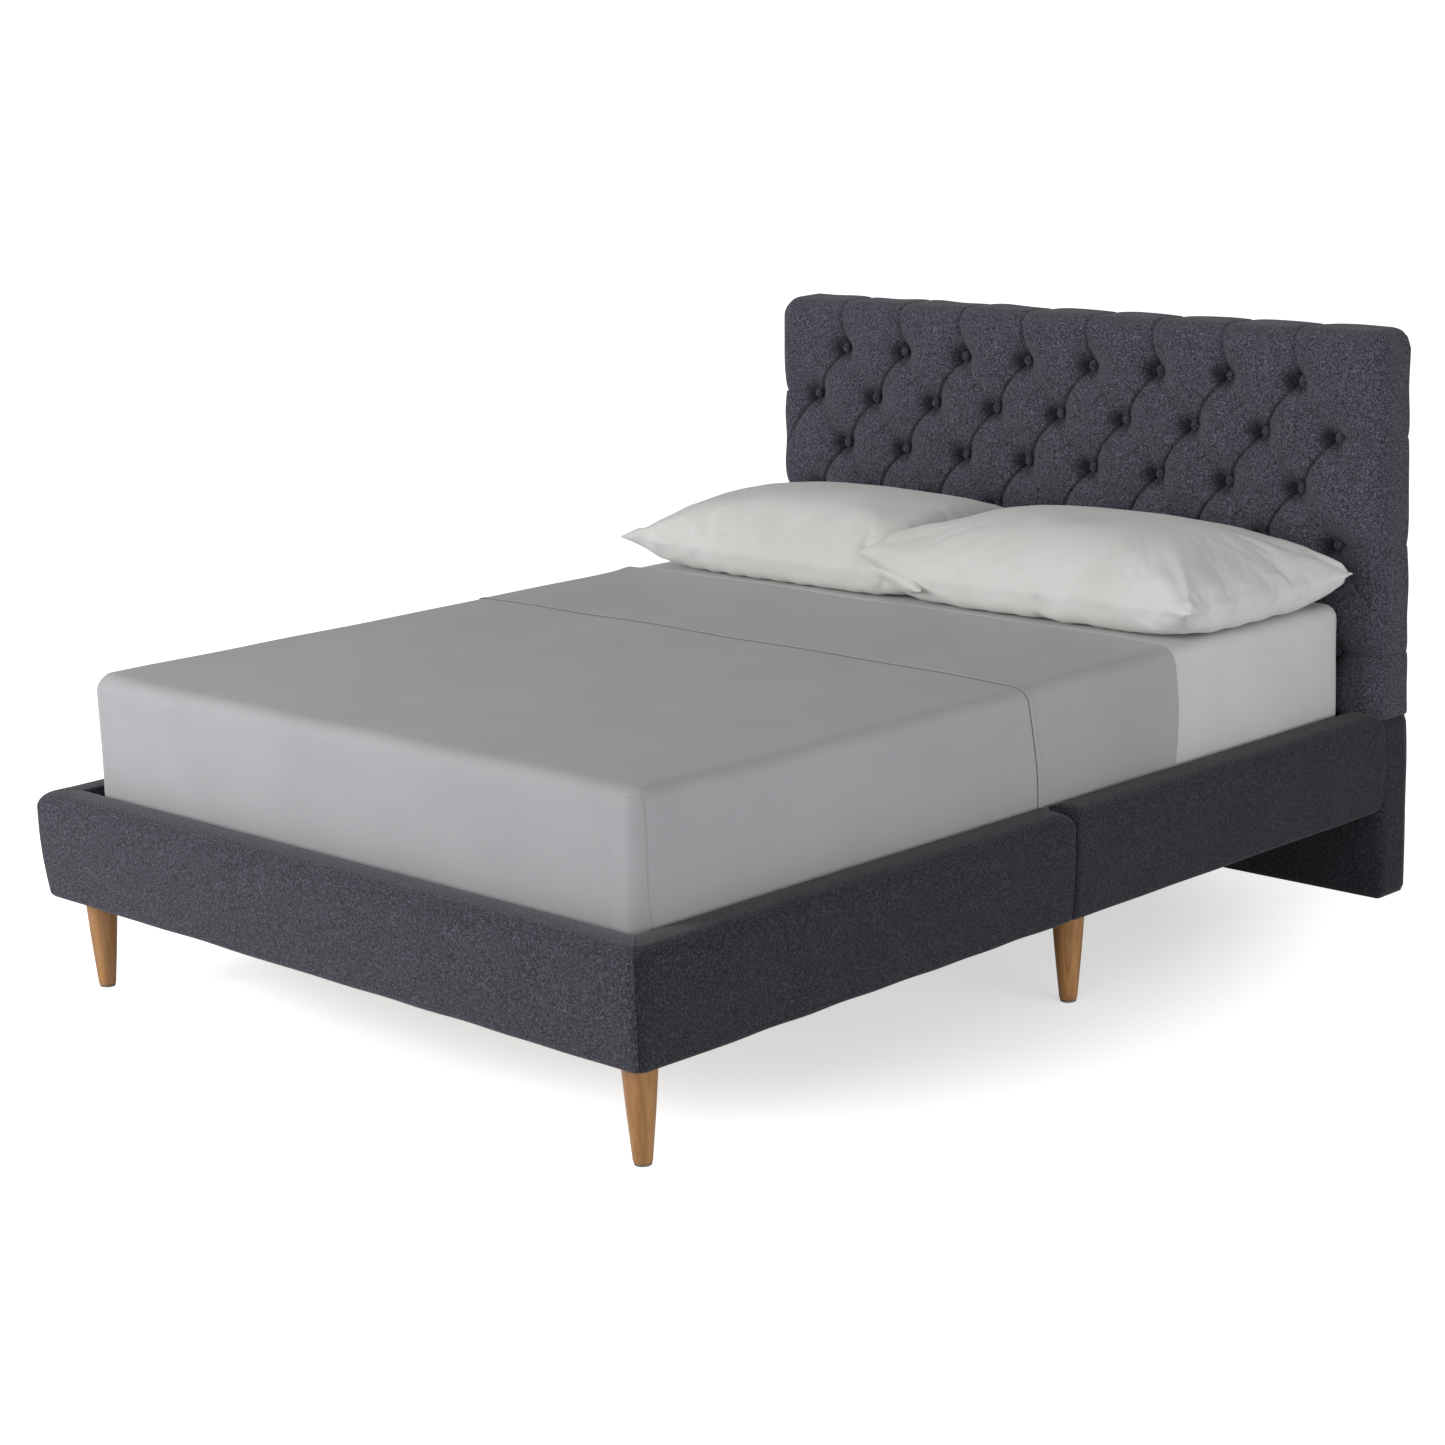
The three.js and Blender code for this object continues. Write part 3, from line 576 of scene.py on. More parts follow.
def buttonedPad(spec):
    low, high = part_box("headboard_pad")
    panelLow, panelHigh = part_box("headboard_panel")
    half = high.x
    corner = spec["round"]
    depthBack = high.y - low.y - 0.0002
    wall = depthBack - corner
    edge = {"corner": corner, "round": corner, "wall": wall + spec["crown"]}
    reach = corner * math.pi / 2 + edge["wall"]
    wide = half - corner + reach
    tall = high.z - corner + reach
    bottom = low.z
    stepU = spec["buttonPitch"] / 2 / spec["stepsPerCell"]
    stepV = spec["rowPitch"] / spec["stepsPerCell"]
    us = spaced(-wide, wide, stepU)
    vs = spaced(bottom, tall, stepV, spec["topRow"])
    u, v = np.meshgrid(us, vs)
    lines, buttons = pleatLines(spec, half, high.z, bottom, wide, tall)
    for sign in (-1, 1):          # the tuck on each top corner
        lines.append(((sign * (half - corner * 0.6), high.z - corner * 0.6), (sign * wide, tall),
                      (0, 1), 0.35, 0.5, 0.0))
    depth, pullU, pullV, leaning, fromU, fromV = buttonedDepth(u, v, lines, buttons, spec)
    pullV = pullV * eased((v - bottom) / 0.02)
    pullU = pullU * eased((wide - abs(u)) / 0.01)
    laidU = np.clip(u + pullU, -wide, wide)
    laidV = np.clip(v + pullV, bottom, tall)
    x, z, drop, normalX, normalZ, normalY = laidOver(
        laidU, laidV, (corner - half, half - corner), (-10.0, high.z - corner), edge)
    around = np.clip((abs(u) - half + corner) / (corner * math.pi / 2), 0, 1)
    over = np.clip((v - high.z + corner) / (corner * math.pi / 2), 0, 1)
    wrapped = eased(np.maximum(around, over))
    depth = depth * (1 - (1 - spec["sideDepth"]) * wrapped)
    deepest = spec["sideDeepest"] + spec["frontExtra"] * (1 - wrapped)
    depth = np.minimum(depth, deepest)        # keeps the boards covered
    seam = spec["seamRound"] * (1 - around) + 0.007 * around
    rise = np.clip(1 - (v - bottom) / seam, 0, 1)
    depth = depth + seam * (1 - np.sqrt(np.clip(1 - rise ** 2, 0, 1)))
    behind = np.clip(1 - (high.y - 0.0002 - (low.y - spec["crown"] + drop)) / 0.006, 0, 1)
    depth = depth + 0.004 * behind ** 2
    depth = depth - 0.0012 * unevenness(u, v, 0.16, 5) * (1 - rise)
    y = low.y - spec["crown"] + drop + depth * normalY
    front = panelLow.y - 0.0006
    y = np.where(drop < corner / 2, np.minimum(y, front), y)
    x = x - normalX * depth
    z = z - normalZ * depth
    x = x * (1 - spec["narrowing"] / half * eased((z - bottom) / (high.z - bottom)))
    outer = np.stack([x, y, z], -1)
    rows, columns = u.shape
    innerX = panelHigh.x + 0.0003
    innerTop = panelHigh.z + 0.0003
    wallRing = outer.copy()
    wallRing[..., 0] = np.clip(x, -innerX, innerX)
    wallRing[..., 1] = np.maximum(y, front)
    wallRing[..., 2] = np.minimum(z, innerTop)
    backRing = wallRing.copy()
    backRing[..., 1] = front
    rimIndex = borderOf(rows, columns)
    count = len(rimIndex)
    points = np.concatenate([outer.reshape(-1, 3)] + [
        ring.reshape(-1, 3)[rimIndex] for ring in (wallRing, backRing)])
    quads = gridFaces(rows, columns)
    lean = leaning.reshape(-1)
    faces = []
    for a, b, c, d in quads:
        if lean[a] + lean[c] > 0 or (lean[a] + lean[c] == 0 and lean[b] + lean[d] > 0):
            faces += [(a, b, c), (a, c, d)]
        elif lean[a] + lean[c] + lean[b] + lean[d] < 0:
            faces += [(a, b, d), (b, c, d)]
        else:
            faces.append((a, b, c, d))
    base = rows * columns
    rings = [rimIndex, list(range(base, base + count)), list(range(base + count, base + 2 * count))]
    for first, second in zip(rings, rings[1:]):
        for i in range(count):
            j = (i + 1) % count
            faces.append((first[j], first[i], second[i], second[j]))
    faces.append(tuple(rings[2]))
    pad = meshFrom("headboard_buttoned_pad", points, faces, litPadWeave)
    offset = np.zeros((len(points), 3))
    offset[:base, 0] = fromU.reshape(-1)
    offset[:base, 1] = fromV.reshape(-1)
    offset[base:, 0] = 1.0
    attribute = pad.data.attributes.new("fromButton", "FLOAT_VECTOR", "POINT")
    attribute.data.foreach_set("vector", offset.astype(np.float32).ravel())
    tidyMesh(pad)
    place(pad, "base", "charcoal_weave", "headboard_pad")
    return buttons, low.y - spec["crown"] + spec["buttonDepth"]


buttonPlaces, buttonSeat = buttonedPad(headSet)
print("buttoned pad made with", len(buttonPlaces), "buttons")


# Padded plain cover round the lower front and sides of the headboard.
coverSet = {"corner": 0.012, "stepsAround": 8, "rows": 26, "swell": 0.0022, "endRound": 0.006}


def lowerCover(spec):
    low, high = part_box("headboard_lower_cover")
    panelLow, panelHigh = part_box("headboard_panel")
    corner = spec["corner"]
    back = high.y
    path = []                   # x, y, outward x, outward y, share of swell
    for step in range(7):
        path.append((high.x, back + (low.y + corner - back) * step / 6, 1, 0, 1.0))
    for step in range(1, spec["stepsAround"]):
        angle = math.pi / 2 * step / spec["stepsAround"]
        outX, outY = math.cos(angle), -math.sin(angle)
        path.append((high.x - corner + corner * outX, low.y + corner + corner * outY, outX, outY, 0.3))
    for step in range(41):
        path.append(((high.x - corner) * (1 - step / 20), low.y, 0, -1, 1.0))
    path += [(-x, y, -outX, outY, share) for x, y, outX, outY, share in path[6 + spec["stepsAround"] - 1::-1]]
    path = np.array(path)
    innerX = panelHigh.x + 0.0003
    innerY = panelLow.y - 0.0003
    rings = []
    for row in range(spec["rows"] + 1):
        share = row / spec["rows"]
        z = low.z + (high.z - low.z) * share
        fromEnd = min(z - low.z, high.z - z)
        turn = np.clip(1 - fromEnd / spec["endRound"], 0, 1)
        inset = spec["endRound"] * (1 - math.sqrt(1 - turn ** 2)) * 0.8
        bulge = spec["swell"] * math.sin(math.pi * share) ** 0.5 * path[:, 4] - inset
        bulge = bulge + 0.0007 * unevenness(path[:, 0] + path[:, 1], z, 0.14, 9) * (share > 0) * (share < 1)
        outer = np.stack([path[:, 0] + bulge * path[:, 2], path[:, 1] + bulge * path[:, 3],
                          np.full(len(path), z)], -1)
        inner = np.array([(innerX, back, z), (innerX, innerY, z), (-innerX, innerY, z), (-innerX, back, z)])
        rings.append(np.concatenate([outer, inner[::-1]]))
    cover = loft("headboard_plain_cover", rings, shadedSideWeave)
    place(cover, "base", "charcoal_weave", "headboard_lower_cover")


# Buttons covered in the same cloth: a dome on a short neck, one at every place given.
buttonSet = {"radius": 0.0108, "height": 0.0080, "standsOut": 0.0055, "rings": 9, "segments": 18}


def newNodes(name, sizes):
    tree = bpy.data.node_groups.new(name, "GeometryNodeTree")
    tree.interface.new_socket("Geometry", in_out="INPUT", socket_type="NodeSocketGeometry")
    for label, value in sizes.items():
        socket = tree.interface.new_socket(label, in_out="INPUT", socket_type="NodeSocketFloat")
        socket.default_value = value
    tree.interface.new_socket("Geometry", in_out="OUTPUT", socket_type="NodeSocketGeometry")
    entry = tree.nodes.new("NodeGroupInput")
    return tree, {socket.name: socket for socket in entry.outputs if socket.name}


# One copy of a shape on every point that the tree is given.
def onEachPoint(tree, given, shape, **inputs):
    return addNode(tree, "GeometryNodeInstanceOnPoints", {
        "Points": given["Geometry"], "Instance": shape.outputs[0], **inputs}).outputs[0]


# Ends a tree: instances made real, shaded smooth, material set.
def endNodes(tree, instances, material, smooth=True):
    real = addNode(tree, "GeometryNodeRealizeInstances", {"Geometry": instances})
    shaded = addNode(tree, "GeometryNodeSetShadeSmooth", {"Geometry": real.outputs[0], "Shade Smooth": smooth})
    painted = addNode(tree, "GeometryNodeSetMaterial", {"Geometry": shaded.outputs[0], "Material": material})
    leave = tree.nodes.new("NodeGroupOutput")
    tree.links.new(painted.outputs[0], leave.inputs[0])


# Runs a tree on a cloud of points and keeps the result as a plain mesh.
def grown(name, points, tree, sizes, material):
    cloud = bpy.data.meshes.new(name + " points")
    cloud.from_pydata([tuple(point) for point in points], [], [])
    maker = bpy.data.objects.new(name + " maker", cloud)
    scene.collection.objects.link(maker)
    modifier = maker.modifiers.new("maker", "NODES")
    modifier.node_group = tree
    for item in tree.interface.items_tree:
        if item.in_out == "INPUT" and item.name in sizes:
            modifier[item.identifier] = sizes[item.name]
    bpy.context.view_layer.update()
    evaluated = maker.evaluated_get(bpy.context.evaluated_depsgraph_get())
    mesh = bpy.data.meshes.new_from_object(evaluated)
    mesh.name = name
    if not mesh.materials:
        mesh.materials.append(material)
    bpy.data.objects.remove(maker)
    piece = bpy.data.objects.new(name, mesh)
    scene.collection.objects.link(piece)
    return piece


def coveredButtons(places, seat, spec):
    sizes = {"Radius": spec["radius"], "Height": spec["height"]}
    tree, given = newNodes("covered buttons", sizes)
    ball = addNode(tree, "GeometryNodeMeshUVSphere", {
        "Segments": spec["segments"], "Rings": spec["rings"], "Radius": given["Radius"]})
    where = addNode(tree, "GeometryNodeInputPosition").outputs[0]
    split = addNode(tree, "ShaderNodeSeparateXYZ", {"Vector": where})
    flatter = addMath(tree, "DIVIDE", split.outputs[2], given["Radius"])      # -1 to 1
    domed = addMath(tree, "MULTIPLY", flatter, given["Height"])
    backwards = addMath(tree, "MULTIPLY", addMath(tree, "MINIMUM", flatter, 0.0), given["Height"])
    depth = addMath(tree, "SUBTRACT", addMath(tree, "MULTIPLY", domed, -1.0),
                    addMath(tree, "MULTIPLY", backwards, 0.4))
    shaped = addNode(tree, "ShaderNodeCombineXYZ", {"X": split.outputs[0], "Y": depth, "Z": split.outputs[1]})
    dome = addNode(tree, "GeometryNodeSetPosition", {
        "Geometry": ball.outputs[0], "Position": shaped.outputs[0]})
    endNodes(tree, onEachPoint(tree, given, dome), weave)
    points = [(x, seat - spec["standsOut"], z) for x, z in places]
    buttons = tidyMesh(grown("covered_buttons", points, tree, sizes, weave))
    place(buttons, "base", "charcoal_weave")


lowerCover(coverSet)
coveredButtons(buttonPlaces, buttonSeat, buttonSet)
print("headboard covers and buttons made")


# Padded rails

railSet = {
    "topRound": 0.030,
    "bottomRound": 0.012,
    "innerRound": 0.006,
    "taper": 0.009,
    "lining": 0.004,
    "liningDepth": 0.050,
    "boardReach": 0.0346,     # outer side of the space for the board
    "swell": 0.0028,
    "cornerRound": 0.020,
    "seamDip": 0.0016,
    "station": 0.018,
}


# The section round a rail: outward and upward offsets, the skin's normal and how soft it is.
def railSection(width, height, cavity, spec):
    rows = []

    def arc(centreOut, centreUp, radius, start, end, steps):
        for step in range(steps + 1):
            angle = math.radians(start + (end - start) * step / steps)
            rows.append((centreOut + radius * math.cos(angle), centreUp + radius * math.sin(angle),
                         math.cos(angle), math.sin(angle), 1.0))

    lowWidth = width - spec["taper"]
    low, high, inner = spec["bottomRound"], spec["topRound"], spec["innerRound"]
    for step in range(4):
        rows.append((spec["lining"] + (lowWidth - low - spec["lining"]) * step / 4, 0, 0, -1, step / 4))
    arc(lowWidth - low, low, low, -90, 0, 5)
    for step in range(1, 14):
        share = step / 14
        swell = spec["swell"] * math.sin(math.pi * share)
        rows.append((lowWidth + (width - lowWidth) * share + swell,
                     low + (height - high - low) * share, 1, 0, 1.0))
    arc(width - high, height - high, high, 0, 90, 8)
    for step in range(1, 5):
        share = step / 5
        rows.append((width - high + (inner - width + high) * share,
                     height + 0.0012 * math.sin(math.pi * share), 0, 1, 1 - share))
    arc(inner, height - inner, inner, 90, 180, 4)
    rows = [row[:4] + (row[4] if row[0] > inner else 0.0,) for row in rows]
    bottom, top = cavity
    lined = height - spec["liningDepth"]
    for out, up in ((0, lined), (spec["lining"], lined), (spec["lining"], top), (spec["boardReach"], top),
                    (spec["boardReach"], bottom), (spec["lining"], bottom)):
        rows.append((out, up, 0, 0, 0.0))
    return np.array(rows)


# Rings from one end of a rail to the other. An end is "mitre", "split" or "head"; the
# values are where the inner face ends, along the rail.
def railRings(section, start, end, startKind, endKind, spec, seed):
    out, up, normalOut, normalUp, soft = section.T
    inside = (normalOut == 0) & (normalUp == 0)

    def ending(kind, turn):
        quarter = math.radians(turn)
        if kind == "mitre":
            bend = spec["cornerRound"]
            k = eased((out - 0.012) / 0.05)
            dip = spec["seamDip"] * soft * (turn == 45)
            outward = out - k * bend * (1 - math.cos(quarter)) - dip * (normalOut > 0.3)
            run = out - k * bend * (1 - math.sin(quarter)) - (1 - k) * bend * (1 - turn / 45)
            run = np.where(turn == 45, outward, run)
            return outward, up - dip * (normalUp > 0.3) * 0.6, run
        facing = normalOut ** 2
        if kind == "split":
            radius = 0.009 * facing + 0.020 * (1 - facing) * (normalUp > 0) + 0.010 * (1 - facing)
            reach = np.zeros_like(out)
        else:
            radius = 0.0065 * facing + 0.027 * (1 - facing)
            reach = 0.0115 * eased((out - 0.060) / 0.006) * eased((0.185 - up) / 0.07)
        radius = np.where(inside | (out < 0.008), 0.0008, radius)
        shrink = radius * (1 - math.cos(quarter))
        return out - normalOut * shrink, up - normalUp * shrink, reach - radius * (1 - math.sin(quarter))

    rings = []
    turns = {"mitre": [0, 9, 18, 27, 36, 41, 45], "split": range(0, 91, 15), "head": range(0, 91, 15)}
    first, last = ending(startKind, 0), ending(endKind, 0)
    for turn in reversed(turns[startKind]):
        outward, height, run = ending(startKind, turn)
        rings.append((outward, height, start - run))
    steps = max(4, int((end - start) / spec["station"]))
    for step in range(1, steps):
        share = step / steps
        along = (start - first[2]) * (1 - share) + (end + last[2]) * share
        fade = min(1.0, 8 * share, 8 * (1 - share))
        wave = 0.0011 * unevenness(along, up * 1.3 + out, 0.21, seed) * soft * fade
        rings.append((out + wave * normalOut, up + 0.7 * wave * normalUp, along))
    for turn in turns[endKind]:
        outward, height, run = ending(endKind, turn)
        rings.append((outward, height, end + run))
    if endKind == "head":               # back round the bulge to a flat end
        outward, height, along = rings[-1]
        rings.append((np.minimum(outward, 0.0625), height, np.full_like(along, end)))
    return rings


# Stands rings in the room: from a corner point, with directions outwards and along.
def stood(rings, base, outwards, alongside):
    base, outwards, alongside = (np.array(v, float) for v in (base, outwards, alongside))
    upright = np.array((0.0, 0.0, 1.0))
    return [base + out[:, None] * outwards + up[:, None] * upright + along[:, None] * alongside
            for out, up, along in rings]


def paddedRails(spec):
    footLow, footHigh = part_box("foot_rail_padding")
    boardLow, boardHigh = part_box("foot_rail_board")
    sideLow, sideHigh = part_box("side_rail_front_right_padding")
    rearLow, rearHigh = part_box("side_rail_rear_right_padding")
    height = footHigh.z - footLow.z
    cavity = (boardLow.z - footLow.z - 0.0003, boardHigh.z - footLow.z + 0.0003)
    innerX = sideLow.x
    section = railSection(sideHigh.x - innerX, height, cavity, spec)
    footRings = railRings(section, -innerX + 0.0001, innerX - 0.0001, "mitre", "mitre", spec, 21)
    base = (0, footHigh.y, footLow.z)
    rail = loft("foot_rail_cover", stood(footRings, base, (0, -1, 0), (1, 0, 0)), weave)
    place(rail, "base", "charcoal_weave", "foot_rail_padding")
    for number, side in enumerate(sides):
        sign = 1 if side == "right" else -1
        base = (sign * innerX, 0, footLow.z)
        runs = (("front", footHigh.y + 0.0001, sideHigh.y, "mitre", "split"),
                ("rear", rearLow.y, rearHigh.y, "split", "head"))
        for name, start, end, startKind, endKind in runs:
            rings = railRings(section, start, end, startKind, endKind, spec, 30 + number * 2 + len(name))
            rings = stood(rings, base, (sign, 0, 0), (0, 1, 0))
            rail = loft(f"side_rail_{name}_{side}_cover", rings, shadedSideWeave)
            place(rail, "base", "charcoal_weave", f"side_rail_{name}_{side}_padding")


paddedRails(railSet)
print("padded rails made")


# Legs

legSet = {"segments": 40, "entasis": 0.0007, "topRound": 0.0015, "bottomChamfer": 0.0028}


# A closed turned piece from [radius, height] pairs that start and end on the axis.
def turned(name, profile, centre, segments, material):
    angles = np.arange(segments) * 2 * math.pi / segments
    rings = [[(centre[0] + radius * math.cos(a), centre[1] + radius * math.sin(a), height) for a in angles]
             for radius, height in profile[1:-1]]
    points = [point for ring in rings for point in ring]
    faces = [tuple(face) for face in gridFaces(len(rings), segments, wrap=True)]
    start = len(points)
    points += [(centre[0], centre[1], profile[0][1]), (centre[0], centre[1], profile[-1][1])]
    top = (len(rings) - 1) * segments
    for i in range(segments):
        j = (i + 1) % segments
        faces.append((start, j, i))
        faces.append((start + 1, top + i, top + j))
    return tidyMesh(meshFrom(name, points, faces, material))


def turnedLegs(spec):
    glideLow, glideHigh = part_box("leg_glide_front_right")
    railLow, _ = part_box("foot_rail_padding")
    for row in ("front", "mid"):
        for side in sides:
            low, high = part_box(f"leg_{row}_{side}")
            centre = ((low.x + high.x) / 2, (low.y + high.y) / 2)
            topRadius = (high.x - low.x) / 2
            bottomRadius = glideHigh.x - (glideLow.x + glideHigh.x) / 2 + 0.0015
            top = railLow.z - 0.0003
            bottom = low.z
            chamfer, rounding = spec["bottomChamfer"], spec["topRound"]
            profile = [(0, bottom), (bottomRadius - chamfer, bottom),
                       (bottomRadius - chamfer * 0.35, bottom + chamfer * 0.5),
                       (bottomRadius, bottom + chamfer * 1.4)]
            steps = 14
            for step in range(1, steps + 1):
                share = step / steps
                radius = bottomRadius + (topRadius - bottomRadius) * share
                radius += spec["entasis"] * math.sin(math.pi * share)
                height = (top - rounding - bottom - chamfer * 1.4) * share
                profile.append((radius, bottom + chamfer * 1.4 + height))
            profile += [(topRadius - rounding * 0.3, top - rounding * 0.3), (topRadius - rounding, top),
                        (0.004, top), (0.004, high.z - 0.0006), (0.0034, high.z), (0, high.z)]
            leg = turned(f"turned_leg_{row}_{side}", profile, centre, spec["segments"], honeyWood)
            place(leg, "base", "turned_wood", f"leg_{row}_{side}")
            low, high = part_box(f"leg_glide_{row}_{side}")
            radius = (high.x - low.x) / 2
            profile = [(0, low.z), (radius - 0.0022, low.z), (radius - 0.0008, low.z + 0.0005),
                       (radius, low.z + 0.0016), (radius, high.z - 0.0004),
                       (radius - 0.0004, high.z), (0, high.z)]
            glide = turned(f"glide_{row}_{side}", profile, centre, spec["segments"], glidePlastic)
            place(glide, "base", "glide_plastic", f"leg_glide_{row}_{side}")


turnedLegs(legSet)
print("legs made")


# Timber, board and steel that keep the model's shape

# A copy of a node with its faces joined and its edges softened.
def softened(node, material, slotName, width):
    source = frame["nodes"][node]
    piece = bpy.data.objects.new(node + "_finished", source.data.copy())
    scene.collection.objects.link(piece)
    piece.data.materials.clear()
    piece.data.materials.append(material)
    work = bmesh.new()
    work.from_mesh(piece.data)
    bmesh.ops.remove_doubles(work, verts=work.verts, dist=2e-5)
    bmesh.ops.dissolve_limit(work, angle_limit=math.radians(1), verts=work.verts, edges=work.edges)
    for face in work.faces:
        face.smooth = True
    work.to_mesh(piece.data)
    work.free()
    bevel = piece.modifiers.new("softened edges", "BEVEL")
    bevel.width = width
    bevel.segments = 2
    bevel.limit_method = "ANGLE"
    bevel.angle_limit = math.radians(50)
    bevel.harden_normals = True
    return place(piece, "base", slotName, node)


hardPieces = [
    # nodes, material, slot, edge
    (["foot_rail_board", "crossbar_front", "crossbar_rear"], pineAlongX, "pine", 0.0015),
    ([f"side_rail_{run}_{side}_board" for run in ("front", "rear") for side in sides],
     pineAlongY, "pine", 0.0015),
    ([f"slat_ledge_{run}_{side}" for run in ("front", "rear") for side in sides] + ["centre_beam"],
     pineAlongY, "pine", 0.0018),
    ([f"corner_block_{row}_{side}" for row in ("front", "mid") for side in sides]
     + [f"headboard_post_{side}" for side in sides], pineUpright, "pine", 0.0015),
    (["headboard_panel"], fibreboard, "board", 0.0008),
    (["beam_hanger_foot", "beam_hanger_head"], zincSteel, "zinc_steel", 0.0003),
    ([f"{bolt}_{side}" for bolt in ("joining_bolt", "headboard_bolt") for side in sides],
     zincSteel, "zinc_steel", 0.0006),
    (["centre_leg"], blackSteel, "black_steel", 0.0008),
]
for nodes, material, slotName, width in hardPieces:
    for node in nodes:
        softened(node, material, slotName, width)
print("frame timber and steel finished")


# Slats and their screws

slatSet = {"edgeRound": 0.0045, "screwIn": 0.018, "screwHead": 0.0042}


def slatPieces(spec):
    names = [f"slat_{number:02d}" for number in range(1, 13)]
    boxes = [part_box(name) for name in names]
    low, high = boxes[0]
    sizes = {"Length": high.x - low.x, "Width": high.y - low.y, "Thickness": high.z - low.z,
             "Round": spec["edgeRound"]}
    tree, given = newNodes("slats", sizes)
    section = addNode(tree, "GeometryNodeCurvePrimitiveQuadrilateral", {
        "Width": given["Width"], "Height": given["Thickness"]})
    rounded = addNode(tree, "GeometryNodeFilletCurve", {
        "Curve": section.outputs[0], "Radius": given["Round"], "Limit Radius": True, "Count": 3}, mode="POLY")
    half = addMath(tree, "DIVIDE", given["Length"], 2.0)
    start = addNode(tree, "ShaderNodeCombineXYZ", {"X": addMath(tree, "MULTIPLY", half, -1.0)})
    end = addNode(tree, "ShaderNodeCombineXYZ", {"X": half})
    line = addNode(tree, "GeometryNodeCurvePrimitiveLine", {"Start": start.outputs[0], "End": end.outputs[0]})
    bar = addNode(tree, "GeometryNodeCurveToMesh", {
        "Curve": line.outputs[0], "Profile Curve": rounded.outputs[0], "Fill Caps": True})
    endNodes(tree, onEachPoint(tree, given, bar), birch, smooth=False)
    slats = grown("sprung_slats", [(a + b) / 2 for a, b in boxes], tree, sizes, birch)
    place(tidyMesh(slats), "base", "slat_birch", *names)
    heads = []
    for a, b in boxes:
        for x in (a.x + spec["screwIn"], b.x - spec["screwIn"]):
            heads += [(x, (a.y + b.y) / 2 + shift, b.z) for shift in (-0.024, 0.024)]
    sizes = {"Head": spec["screwHead"]}
    tree, given = newNodes("slat screws", sizes)
    flat = addMath(tree, "MULTIPLY", given["Head"], 0.16)
    recess = addMath(tree, "MULTIPLY", given["Head"], 0.45)
    disc = addNode(tree, "GeometryNodeMeshCone", {
        "Vertices": 12, "Radius Top": recess, "Radius Bottom": given["Head"], "Depth": flat})
    endNodes(tree, onEachPoint(tree, given, disc), zincSteel, smooth=False)
    place(grown("slat_screws", heads, tree, sizes, zincSteel), "base", "zinc_steel")


slatPieces(slatSet)
print("slats made")


# Mattress and sheets

bedSet = {
    "step": 0.0125,
    "corner": 0.037,
    "topRound": 0.029,
    "bottomRound": 0.028,
    "under": 0.006,           # how far each piece goes on under the mattress
    "raised": 0.0006,         # the lowest cloth above the slats
    "crown": 0.0035,
    "wave": 0.0012,
    "cloth": 0.0008,
    "fittedDepth": 0.0016,    # outer skin of the fitted sheet under the flat sheet's
    "mattressDepth": 0.0030,
    "flapGap": 0.0005,
    "foldGap": 0.0045,        # the turned-back end is fuller beside its fold
    "hemLine": -0.034,
    "hemWander": 0.0035,
    "mitreTurn": 0.60,        # how far round the corner its edge is, as a share of it
    "mitreLean": 0.16,
    "mitreHeight": 0.0034,
}


# Points and faces of a closed cloth between two skins of the same grid.
def clothBetween(outer, inner, start=0):
    rows, columns = outer.shape[:2]
    total = rows * columns
    quads = gridFaces(rows, columns)
    border = borderOf(rows, columns)
    faces = [tuple(start + quad) for quad in quads] + [tuple(start + total + quad[::-1]) for quad in quads]
    for i, j in zip(border, border[1:] + border[:1]):
        faces.append((start + j, start + i, start + total + i, start + total + j))
    return np.concatenate([outer.reshape(-1, 3), inner.reshape(-1, 3)]), faces


class MadeBed:
    def __init__(self, spec):
        boxes = [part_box(name) for name in ("mattress", "fitted_sheet", "flat_sheet")]
        self.low = [min(box[0][axis] for box in boxes) for axis in range(3)]
        self.high = [max(box[1][axis] for box in boxes) for axis in range(3)]
        self.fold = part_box("flat_sheet")[1].y
        self.spec = spec
        corner = spec["corner"]
        self.uRange = (self.low[0] + corner, self.high[0] - corner)
        self.vRange = (self.low[1] + corner, self.high[1] - corner)
        top, bottom = spec["topRound"], spec["bottomRound"]
        height = self.high[2] - self.low[2] - spec["raised"]
        self.edge = {"corner": corner, "round": top, "foot": bottom, "wall": height - top - bottom}
        self.run = (corner - top) + (top + bottom) * math.pi / 2 + self.edge["wall"] + spec["under"]
        self.wide = self.uRange[1] + self.run
        self.foot = self.vRange[0] - self.run
        self.head = self.vRange[1] + self.run

    # Points of the skin at a distance outside the bed's surface.
    def skin(self, u, v, out):
        x, y, drop, normalX, normalY, normalUp = laidOver(u, v, self.uRange, self.vRange, self.edge)
        spec = self.spec
        flat = np.clip(normalUp, 0, 1)
        inward = np.minimum(self.high[0] - abs(x), np.minimum(y - self.low[1], self.high[1] - y))
        swell = spec["crown"] * eased(inward / 0.22) + spec["wave"] * unevenness(u, v, 0.42, 3)
        wall = 0.0009 * unevenness(u, v, 0.35, 12) * (1 - flat) * (abs(normalUp) < 0.9)
        offset = out + np.where(normalUp > 0, flat * swell, 0) + wall
        return np.stack([x + normalX * offset, y + normalY * offset,
                         self.high[2] - drop + normalUp * offset], -1)


def mattressPiece(bed):
    spec = bed.spec
    us = spaced(-bed.wide, bed.wide, 0.02)
    vs = spaced(bed.foot, bed.head, 0.02)
    u, v = np.meshgrid(us, vs)
    rows, columns = u.shape
    points = bed.skin(u, v, -spec["mattressDepth"]).reshape(-1, 3)
    faces = [tuple(quad) for quad in gridFaces(rows, columns)]
    faces.append(tuple(borderOf(rows, columns)[::-1]))
    mattress = tidyMesh(meshFrom("sprung_mattress", points, faces, ticking), 1e-4)
    place(mattress, "bedding", "ticking", "mattress")


